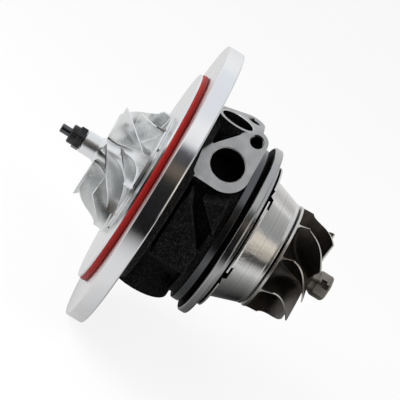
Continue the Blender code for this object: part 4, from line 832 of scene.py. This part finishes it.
def make_vband_end():
    outline = [
        (TUBE_X, 9.0, 0),
        (TUBE_X, TUBE_RADIUS, 0),
        (LAND_X - 0.3, TUBE_RADIUS, 0),
        (LAND_X - 0.3, LAND_RADIUS, 0.3),
        (GROOVE_X, LAND_RADIUS, 0.3),
        (GROOVE_X, GROOVE_RADIUS, 0.5),
        (VBAND_BACK_X, GROOVE_RADIUS, 0.5),
        (VBAND_BACK_X, VBAND_RADIUS, 0.8),
        (0.0, VBAND_RADIUS, 0.8),
        (0.0, SPIGOT_RADIUS, 0.2),
        (SPIGOT_BRIGHT_END, SPIGOT_RADIUS, 0.1),
        (SPIGOT_BRIGHT_END + 0.1, SPIGOT_RADIUS - 0.6, 0.1),
        (SEAT_X, SPIGOT_RADIUS - 0.6, 0.1),
        (SEAT_X, SEAT_RADIUS, 0.2),
        (SEAT_X + 2.3, SEAT_RADIUS, 0.5),
        (NOSE_X, 13.5, 0.4),
        (NOSE_X, SEAL_BORE, 0.2),
        (SEAL_BORE_X, SEAL_BORE, 0.1),
        (SEAL_BORE_X, SHAFT_BORE, 0.1),
        (-8.0, SHAFT_BORE, 0.1),
    ]
    made = lathe("turned_vband_end", round_corners(outline), 256, "steel", "dull_steel", "shade_black")
    for polygon in made.data.polygons:
        middle = polygon.center / MM
        polygon.material_index = vband_look(middle.x, math.hypot(middle.y, middle.z))
    return place(made, "housing", "steel")


def vband_look(x, radius):
    """Bright rim and spigot, a darkened land, and painted shade, a dull black, in the groove and behind the
    shield.
    """
    if x < GROOVE_X - 0.1:
        return 1
    if x < VBAND_BACK_X + 0.1 and radius < VBAND_RADIUS - 0.9:
        return 2
    if x > SPIGOT_BRIGHT_END or (x > 0.2 and radius < SPIGOT_RADIUS - 1.0):
        return 2
    return 0


SHIELD_NOTCHES = 5
NOTCH_SHARE = 0.7
NOTCH_WIDTH = 6.5
NOTCH_INNER = 26.1
NOTCH_END_X = 5.0
SHIELD_SHEET = 0.8
CONE_FOOT_RADIUS = 28.0
CONE_TOP_RADIUS = 24.0
SHIELD_BORE = 11.0


def make_shield():
    start = SHIELD_LOW.x
    end = SHIELD_HIGH.x
    rim = SHIELD_HIGH.z
    outline = [
        (start, rim, 0.2),
        (start, CONE_FOOT_RADIUS - SHIELD_SHEET, 0.2),
        (end - 2.2, CONE_TOP_RADIUS - SHIELD_SHEET, 0.5),
        (end - 1.7, SHIELD_BORE, 0.2),
        (end - 0.9, SHIELD_BORE, 0.2),
        (end - 0.9, CONE_TOP_RADIUS - 2.2, 0.4),
        (end, CONE_TOP_RADIUS - 1.4, 0.3),
        (end, CONE_TOP_RADIUS, 0.55),
        (end - 1.6, CONE_TOP_RADIUS + 0.1, 0.4),
        (end - 2.0, CONE_TOP_RADIUS + 0.35, 0.4),
        (start + 2.0, CONE_FOOT_RADIUS, 0.8),
        (start + SHIELD_SHEET, CONE_FOOT_RADIUS + 1.0, 0.6),
        (start + SHIELD_SHEET, rim, 0.2),
    ]
    shield = lathe("pressed_heat_shield", round_corners(outline), 224, "shield")
    for index in range(SHIELD_NOTCHES):
        cut(shield, shield_notch(math.tau * (index + NOTCH_SHARE) / SHIELD_NOTCHES, rim))
    return place(smooth(shield), "housing", "stainless", "heat_shield")


def shield_notch(turn, rim):
    """A square tool for one of the notches that run from the rim through the foot of the cone."""
    half = NOTCH_WIDTH / 2
    outline = [(-half, NOTCH_INNER), (half, NOTCH_INNER), (half, rim + 1), (-half, rim + 1)]
    across = Vector((0, -math.sin(turn), math.cos(turn)))
    out = Vector((0, math.cos(turn), math.sin(turn)))
    frame_matrix = Matrix((across, out, Vector((1, 0, 0)))).transposed().to_4x4()
    # The notch's cut walls get painted shade: a dull black.
    return prism("notch", outline, frame_matrix, ((1.0, 1), (NOTCH_END_X, 1)), (0, 0), "shade_black")


# Wheels


def quarter_axial_first(share, start, end):
    turn = share * math.pi / 2
    return start[0] + (end[0] - start[0]) * math.sin(turn), end[1] - (end[1] - start[1]) * math.cos(turn)


def quarter_radial_first(share, start, end):
    turn = share * math.pi / 2
    x = start[0] + (end[0] - start[0]) * (1 - math.cos(turn))
    return x, start[1] - (start[1] - end[1]) * math.sin(turn)


def even(start, end, count):
    return [start + (end - start) * index / (count - 1) for index in range(count)]


def add_blade(maker, uv_layer, law, thickness, shares, spans, edge_index):
    """A closed blade: law(share, span) gives (x, radius, angle) on its middle surface."""

    def point(share, span):
        return turned(*law(share, span))

    def normal(share, span):
        step = 1e-3
        along = point(share + step, span) - point(share - step, span)
        across = point(share, span + step) - point(share, span - step)
        return along.cross(across).normalized()

    sides = []
    for sign in (1, -1):
        rows = []
        for share in shares:
            row = []
            for span in spans:
                offset = normal(share, span) * (sign * thickness(share, span) / 2)
                row.append(maker.verts.new((point(share, span) + offset) * MM))
            rows.append(row)
        sides.append(rows)

    def add_face(corners, places, index):
        face = maker.faces.new(corners)
        face.material_index = index
        face.smooth = True
        for loop, (row, column) in zip(face.loops, places):
            loop[uv_layer].uv = (shares[row], spans[column])

    last_row = len(shares) - 1
    last_column = len(spans) - 1
    for side, rows in enumerate(sides):
        for row in range(last_row):
            for column in range(last_column):
                places = [(row, column), (row, column + 1), (row + 1, column + 1), (row + 1, column)]
                if side:
                    places.reverse()
                add_face([rows[r][c] for r, c in places], places, 0)
    left, right = sides
    for row in range(last_row):
        places = [(row, last_column), (row, last_column), (row + 1, last_column), (row + 1, last_column)]
        corners = (left[row][-1], right[row][-1], right[row + 1][-1], left[row + 1][-1])
        add_face(corners, places, edge_index)
    for row in (0, last_row):
        for column in range(last_column):
            corners = (left[row][column], right[row][column], right[row][column + 1], left[row][column + 1])
            places = [(row, column), (row, column), (row, column + 1), (row, column + 1)]
            add_face(corners, places, edge_index)


def finish_wheel(name, hub, maker, body, slot, node, *materials):
    """Joins the blades to the hub as one piece."""
    bmesh.ops.recalc_face_normals(maker, faces=maker.faces)
    blades = add_mesh(new_object(name, maker, *materials), hub)
    blades.data.set_sharp_from_angle(angle=38 * DEG)
    return place(blades, body, slot, node)


WHEEL_BACK_X = COMPRESSOR_HIGH.x
WHEEL_DISC_X = WHEEL_BACK_X - 1.0
WHEEL_INLET_X = WHEEL_DISC_X - 17.7
WHEEL_NOSE_X = COMPRESSOR_LOW.x
WHEEL_RADIUS = COMPRESSOR_HIGH.y
WHEEL_TIP_WIDTH = 3.8
INDUCER_RADIUS = 22.5
HUB_INLET_RADIUS = 6.1
NOSE_RADIUS = 5.1
COMPRESSOR_WRAP = 54 * DEG
COMPRESSOR_PHASE = 151.2 * DEG
COMPRESSOR_BLADES = 6
SPLITTER_START = 0.284


def compressor_hub(share):
    return quarter_axial_first(share, (WHEEL_INLET_X, HUB_INLET_RADIUS), (WHEEL_DISC_X, WHEEL_RADIUS))


def compressor_law(phase):
    def law(share, span):
        low = compressor_hub(share)
        end = (WHEEL_DISC_X - WHEEL_TIP_WIDTH, WHEEL_RADIUS)
        high = quarter_axial_first(share, (WHEEL_INLET_X, INDUCER_RADIUS), end)
        root = share**1.05
        tip = 0.6 * (1 - (1 - share) ** 3) + 0.4 * share
        turn = COMPRESSOR_WRAP * (root + (tip - root) * span)
        return low[0] + (high[0] - low[0]) * span, low[1] + (high[1] - low[1]) * span, phase + turn

    return law


def blade_thickness(tip, root, fillet, height):
    """Thickness that tapers outwards, with a fillet at the root and a thinner leading edge."""

    def thickness(share, span):
        across = root + (tip - root) * min(max(span, 0.0), 1.0)
        rise = max(span, 0.0) * height(share)
        edge = min(1.0, 0.35 + 9 * share)
        return across * edge + 2 * fillet * math.exp(-rise / (fillet * 0.6))

    return thickness


ROOT_SPANS = [-0.1, 0.0, 0.012, 0.03, 0.055, 0.09, 0.14]


def make_compressor_wheel():
    maker = bmesh.new()
    uv_layer = maker.loops.layers.uv.new("UVMap")
    thickness = blade_thickness(0.5, 1.0, 0.55, lambda share: 16.4 - 12.6 * share)
    spans = ROOT_SPANS + even(0.2, 1, 12)
    for index in range(COMPRESSOR_BLADES):
        phase = COMPRESSOR_PHASE + math.tau * index / COMPRESSOR_BLADES
        shares = [0.002, 0.01, 0.03] + even(0.06, 0.997, 26)
        add_blade(maker, uv_layer, compressor_law(phase), thickness, shares, spans, 1)
        phase += math.pi / COMPRESSOR_BLADES
        shares = even(SPLITTER_START, 0.997, 20)
        add_blade(maker, uv_layer, compressor_law(phase), thickness, shares, spans, 1)
    curve = [(*compressor_hub(share), 0) for share in even(0, 0.995, 30)]
    outline = (
        [(WHEEL_NOSE_X, 2.9, 0.1), (WHEEL_NOSE_X, NOSE_RADIUS, 0.4)]
        + [(WHEEL_INLET_X - 1.4, NOSE_RADIUS, 0.6)]
        + curve
        + [(WHEEL_DISC_X, WHEEL_RADIUS, 0), (WHEEL_BACK_X, WHEEL_RADIUS, 0.2), (WHEEL_BACK_X, 2.9, 0.1)]
    )
    hub = lathe("hub", round_corners(outline), 192, "milled", "edge")
    for polygon in hub.data.polygons:
        if polygon.center.x < (WHEEL_INLET_X - 1.0) * MM:
            polygon.material_index = 1
    place_values = ("rotor", "milled", "compressor_wheel")
    return finish_wheel("milled_compressor_wheel", hub, maker, *place_values, "milled", "edge")


TURBINE_BACK_X = TURBINE_LOW.x
TURBINE_RADIUS = 24.1
TURBINE_HUB_X = TURBINE_BACK_X + 1.1
TURBINE_TIP_X = TURBINE_BACK_X + 6.2
TURBINE_EXIT_X = 36.8
TURBINE_HUB_RADIUS = 5.6
EXDUCER_RADIUS = 21.5
TURBINE_WRAP = 31 * DEG
TURBINE_LEAN = -4 * DEG
TURBINE_PHASE = 158.2 * DEG
TURBINE_BLADES = 9
BOSS_END_X = TURBINE_HIGH.x
BOSS_RADIUS = 5.9
BALANCE_X = 42.7
BALANCE_TURN = 55 * DEG
BALANCE_SIZE = 2.6
BALANCE_DEPTH = 1.3


def turbine_hub(share):
    return quarter_radial_first(share, (TURBINE_HUB_X, TURBINE_RADIUS), (TURBINE_EXIT_X, TURBINE_HUB_RADIUS))


def turbine_law(phase):
    def law(share, span):
        low = turbine_hub(share)
        high = quarter_radial_first(share, (TURBINE_TIP_X, TURBINE_RADIUS), (TURBINE_EXIT_X, EXDUCER_RADIUS))
        run = 1 - math.cos(share * math.pi / 2)
        turn = TURBINE_WRAP * run**2.6 + TURBINE_LEAN * span * (1 - run)
        return low[0] + (high[0] - low[0]) * span, low[1] + (high[1] - low[1]) * span, phase + turn

    return law


def make_boss():
    """The end boss: a hexagon with well rounded corners, held when the shaft nut is tightened."""
    maker = bmesh.new()
    rings = []
    flat = BOSS_RADIUS * 0.93
    steps = ((35.5, 0.86), (38.6, 0.80), (40.2, 0.96), (40.8, 1.0))
    steps += ((BOSS_END_X - 1.0, 1.0), (BOSS_END_X - 0.3, 0.93), (BOSS_END_X, 0.8))
    for x, scale in steps:
        rings.append(hexagon_ring(maker, x, flat * scale, BOSS_RADIUS * scale))
    close_rings(maker, rings)
    boss = new_object("boss", maker, "boss_metal")
    frame_matrix = pad_frame((0, -math.sin(BALANCE_TURN), math.cos(BALANCE_TURN)), BOSS_RADIUS)
    half = BALANCE_SIZE / 2
    for shift, share in ((0.0, 1.0), (half, 0.5)):
        x = BALANCE_X + shift
        low = -half - shift
        high = low + BALANCE_SIZE
        outline = [(x - half, low), (x + half, low), (x + half, high), (x - half, high)]
        levels = ((-BALANCE_DEPTH * share, 1), (1, 1))
        cut(boss, prism("balance_cut", outline, frame_matrix, levels, (0, 0), "turbine"))
    return smooth(boss, 25)


def make_turbine_wheel():
    maker = bmesh.new()
    uv_layer = maker.loops.layers.uv.new("UVMap")
    thickness = blade_thickness(0.6, 1.5, 0.9, lambda share: 5.1 + 10.8 * share)
    spans = ROOT_SPANS + even(0.2, 1, 12)
    for index in range(TURBINE_BLADES):
        phase = TURBINE_PHASE + math.tau * index / TURBINE_BLADES
        shares = even(0.004, 0.2, 8) + even(0.24, 0.999, 22)
        add_blade(maker, uv_layer, turbine_law(phase), thickness, shares, spans, 1)
    curve = [(*turbine_hub(share), 0) for share in even(0.01, 1, 26)]
    outline = (
        [(TURBINE_BACK_X + 1.6, 0.0, 0), (TURBINE_BACK_X + 1.6, 8.0, 0.3)]
        + [(TURBINE_BACK_X, 22.5, 0.3), (TURBINE_BACK_X, TURBINE_RADIUS, 0.15)]
        + [(TURBINE_HUB_X, TURBINE_RADIUS, 0.15)]
        + curve
        + [(TURBINE_EXIT_X + 0.8, TURBINE_HUB_RADIUS - 0.6, 0.4), (TURBINE_EXIT_X + 0.8, 0.0, 0)]
    )
    hub = lathe("hub", round_corners(outline), 192, "turbine", "ground")
    for polygon in hub.data.polygons:
        middle = polygon.center / MM
        polygon.material_index = int(math.hypot(middle.y, middle.z) > TURBINE_RADIUS - 0.9)
    boss = make_boss()
    for polygon in boss.data.polygons:
        polygon.material_index += 2
    add_mesh(hub, boss)
    place_values = ("rotor", "nickel_alloy", "turbine_wheel")
    materials = ("turbine", "ground", "boss_metal", "turbine")
    return finish_wheel("cast_turbine_wheel", hub, maker, *place_values, *materials)


# Nut


NUT_FLAT = 4.6
NUT_BORE = 2.85
NUT_HEXAGON = ((0, 0.95), (0.35, 1.0), (2.85, 1.0), (3.2, 0.95))
NUT_COLLAR = ((3.2, 4.15), (5.7, 4.15), (6.1, 3.7))


def make_nut():
    """A hexagon with a smaller round collar in front of it."""
    maker = bmesh.new()
    base = NUT_HIGH.x
    corner_limit = NUT_FLAT / math.cos(math.pi / 6) * 0.985
    rings = []
    for x, scale in NUT_HEXAGON:
        rings.append(hexagon_ring(maker, base - x, NUT_FLAT * scale, corner_limit * scale))
    for x, radius in NUT_COLLAR:
        rings.append(hexagon_ring(maker, base - x, radius, radius))
    close_rings(maker, rings)
    nut = smooth(new_object("black_nut", maker, "black"), 25)
    cut(nut, rod("bore", (base + 1, 0, 0), (-1, 0, 0), ((NUT_BORE, 0), (NUT_BORE, 12)), 48, "black"))
    return place(nut, "rotor", "black_steel", "compressor_nut")


# Materials of the CAD nodes that stay


def dress_cad_nodes():
    looks = {
        "cast": "cast", "turned": "flange", "milled": "milled", "red_seal": "red", "black_seal": "rubber",
        "black_steel": "black", "steel": "steel", "bronze": "bronze", "stainless": "shield",
        "nickel_alloy": "turbine",
    }
    slots = {part["node"]: part["material_slot"] for part in frame["record"]["subparts"]}
    for name, node in frame["nodes"].items():
        node.data.materials.clear()
        node.data.materials.append(MATERIALS["dull_steel" if name == "rotor_shaft" else looks[slots[name]]])
        for polygon in node.data.polygons:
            polygon.material_index = 0


# Stage: camera, lamps, floor and background


def make_camera():
    away = math.sin(AXIS_AWAY)
    near = math.cos(AXIS_AWAY)
    back = Vector((-away, -near * math.cos(CAMERA_RISE), near * math.sin(CAMERA_RISE)))
    axis = Vector((1, 0, 0))
    along = (axis - axis.dot(back) * back).normalized()
    across = back.cross(along)
    right = math.cos(AXIS_TILT) * along + math.sin(AXIS_TILT) * across
    up = -math.sin(AXIS_TILT) * along + math.cos(AXIS_TILT) * across
    half = IMAGE_SIZE / 2
    aim = Vector((PLATE_FRONT_X, 0, 0))
    place_mm = aim + back * CAMERA_DISTANCE
    place_mm -= right * ((FLANGE_PIXEL[0] - half) / PIXELS_PER_MM)
    place_mm += up * ((FLANGE_PIXEL[1] - half) / PIXELS_PER_MM)
    data = bpy.data.cameras.new("camera")
    data.sensor_width = SENSOR_WIDTH
    data.lens = PIXELS_PER_MM * CAMERA_DISTANCE * SENSOR_WIDTH / IMAGE_SIZE
    data.clip_end = 10.0
    camera = bpy.data.objects.new("camera", data)
    turn = Matrix((right, up, back)).transposed().to_4x4()
    camera.matrix_world = Matrix.Translation(place_mm * MM) @ turn
    bpy.context.scene.collection.objects.link(camera)
    bpy.context.scene.camera = camera
    return right, up, back


def add_lamp(name, position, target, size, power):
    data = bpy.data.lights.new(name, "AREA")
    data.shape = "RECTANGLE"
    data.size, data.size_y = size
    data.energy = power
    lamp = bpy.data.objects.new(name, data)
    lamp.location = position
    lamp.rotation_euler = (Vector(target) - Vector(position)).to_track_quat("-Z", "Y").to_euler()
    lamp.visible_glossy = False
    bpy.context.scene.collection.objects.link(lamp)
    return lamp


def room_reflection(graph, upper, nearer):
    """The room that polished metal mirrors, laid out round the rotor axis."""
    direction = graph.coordinates("Generated")
    turn = graph.math("ARCTAN2", graph.dot(direction, nearer), graph.dot(direction, upper))
    share = graph.range(turn, -math.pi, math.pi)
    side = graph.range(graph.split(direction)["X"], SIDE_START, SIDE_END)
    return graph.mix(side, graph.turn_ramp(share, ROOM_LIGHT), graph.turn_ramp(share, TURBINE_SIDE_LIGHT))


def soft_light(graph):
    """The strength of the plain light: a little more from the compressor end than from the other."""
    along = graph.split(graph.coordinates("Generated"))["X"]
    return graph.range(along, -1.0, 1.0, WORLD_LIGHT + WORLD_SLOPE, WORLD_LIGHT - WORLD_SLOPE)


def make_world(upper, nearer):
    """An even white tent, white where the camera sees it, and a room for polished metal to mirror."""
    graph = Graph(bpy.data.worlds.new("studio"))
    path = graph.node("ShaderNodeLightPath").outputs
    white = (1, 1, 1, 1)
    soft = graph.background(white, soft_light(graph))
    room = graph.background(room_reflection(graph, upper, nearer), 1.0)
    lit = graph.mix_shaders(path["Is Glossy Ray"], soft, room)
    seen = graph.math("MAXIMUM", path["Is Camera Ray"], path["Is Transmission Ray"])
    graph.show("World Output", graph.mix_shaders(seen, lit, graph.background(white, 1.0)))
    bpy.context.scene.world = graph.owner


def floor_reflection(graph):
    """The painted glow that polished metal mirrors from each place of the floor, with a painted shadow under the
    turbine end.
    """
    there = graph.split(graph.coordinates())
    ends = (FLOOR_DARK_START * MM, FLOOR_DARK_END * MM, FLOOR_PAINTED_GLOW, FLOOR_DARKEST)
    toward = graph.range(there["Y"], *ends, interpolation_type="SMOOTHSTEP")
    x, y = FLOOR_SHADE_CENTRE
    aside = graph.math("MULTIPLY", graph.math("SUBTRACT", there["X"], x * MM), FLOOR_SHADE_STRETCH)
    ahead = graph.math("SUBTRACT", there["Y"], y * MM)
    flat = graph.node("ShaderNodeCombineXYZ", {"X": aside, "Y": ahead}).outputs["Vector"]
    distance = graph.node("ShaderNodeVectorMath", {0: flat}, operation="LENGTH").outputs["Value"]
    share = graph.range(distance, 0.0, FLOOR_SHADE_REACH * MM, FLOOR_SHADE_LEAST, 1.0)
    return graph.math("MULTIPLY", toward, graph.math("POWER", share, FLOOR_SHADE_CURVE))


def make_floor():
    """A pale floor that keeps the shadow: nearly white to the camera, and to polished metal a painted glow with
    a painted shadow.
    """
    maker = bmesh.new()
    bmesh.ops.create_grid(maker, x_segments=1, y_segments=1, size=FLOOR_HALF_SIZE * MM)
    floor = new_object("floor", maker)
    floor.location = (0, 0, FLOOR_Z * MM)
    graph = Graph(bpy.data.materials.new("pale_floor"))
    graph.set(Base_Color=(0.88, 0.88, 0.88, 1), Roughness=0.9)
    path = graph.node("ShaderNodeLightPath").outputs
    glow = graph.node("ShaderNodeEmission", {"Strength": 1.0}).outputs[0]
    # Seen only by glossy rays: an emission, darker toward the camera, with a painted shadow under the turbine
    # end.
    painted_floor_glow = graph.node("ShaderNodeEmission", {"Strength": floor_reflection(graph)}).outputs[0]
    share = graph.math("MULTIPLY", path["Is Camera Ray"], FLOOR_GLOW)
    pale = graph.mix_shaders(share, graph.shader.outputs[0], glow)
    graph.show("Material Output", graph.mix_shaders(path["Is Glossy Ray"], pale, painted_floor_glow))
    floor.data.materials.append(graph.owner)


def make_stage():
    right, up, back = make_camera()
    centre = Vector((-15, 0, 0)) * MM
    key = centre + (up * 0.55 + back * 0.25 - right * 0.35) * 0.9
    add_lamp("key", key, centre, (0.45, 0.45), KEY_POWER)
    side = centre + (right * 0.6 + back * 0.5 + up * 0.2) * 0.9
    add_lamp("side", side, centre, (0.25, 0.5), SIDE_POWER)
    nearer = Vector((0, back.y, back.z)).normalized()
    upper = Vector((1, 0, 0)).cross(nearer)
    make_world(upper if upper.z > 0 else -upper, nearer)
    make_floor()
    bpy.context.scene.view_settings.view_transform = "Standard"


dress_cad_nodes()
make_backplate()
make_o_ring()
make_housing()
make_vband_end()
make_shield()
make_compressor_wheel()
make_turbine_wheel()
make_nut()
make_stage()
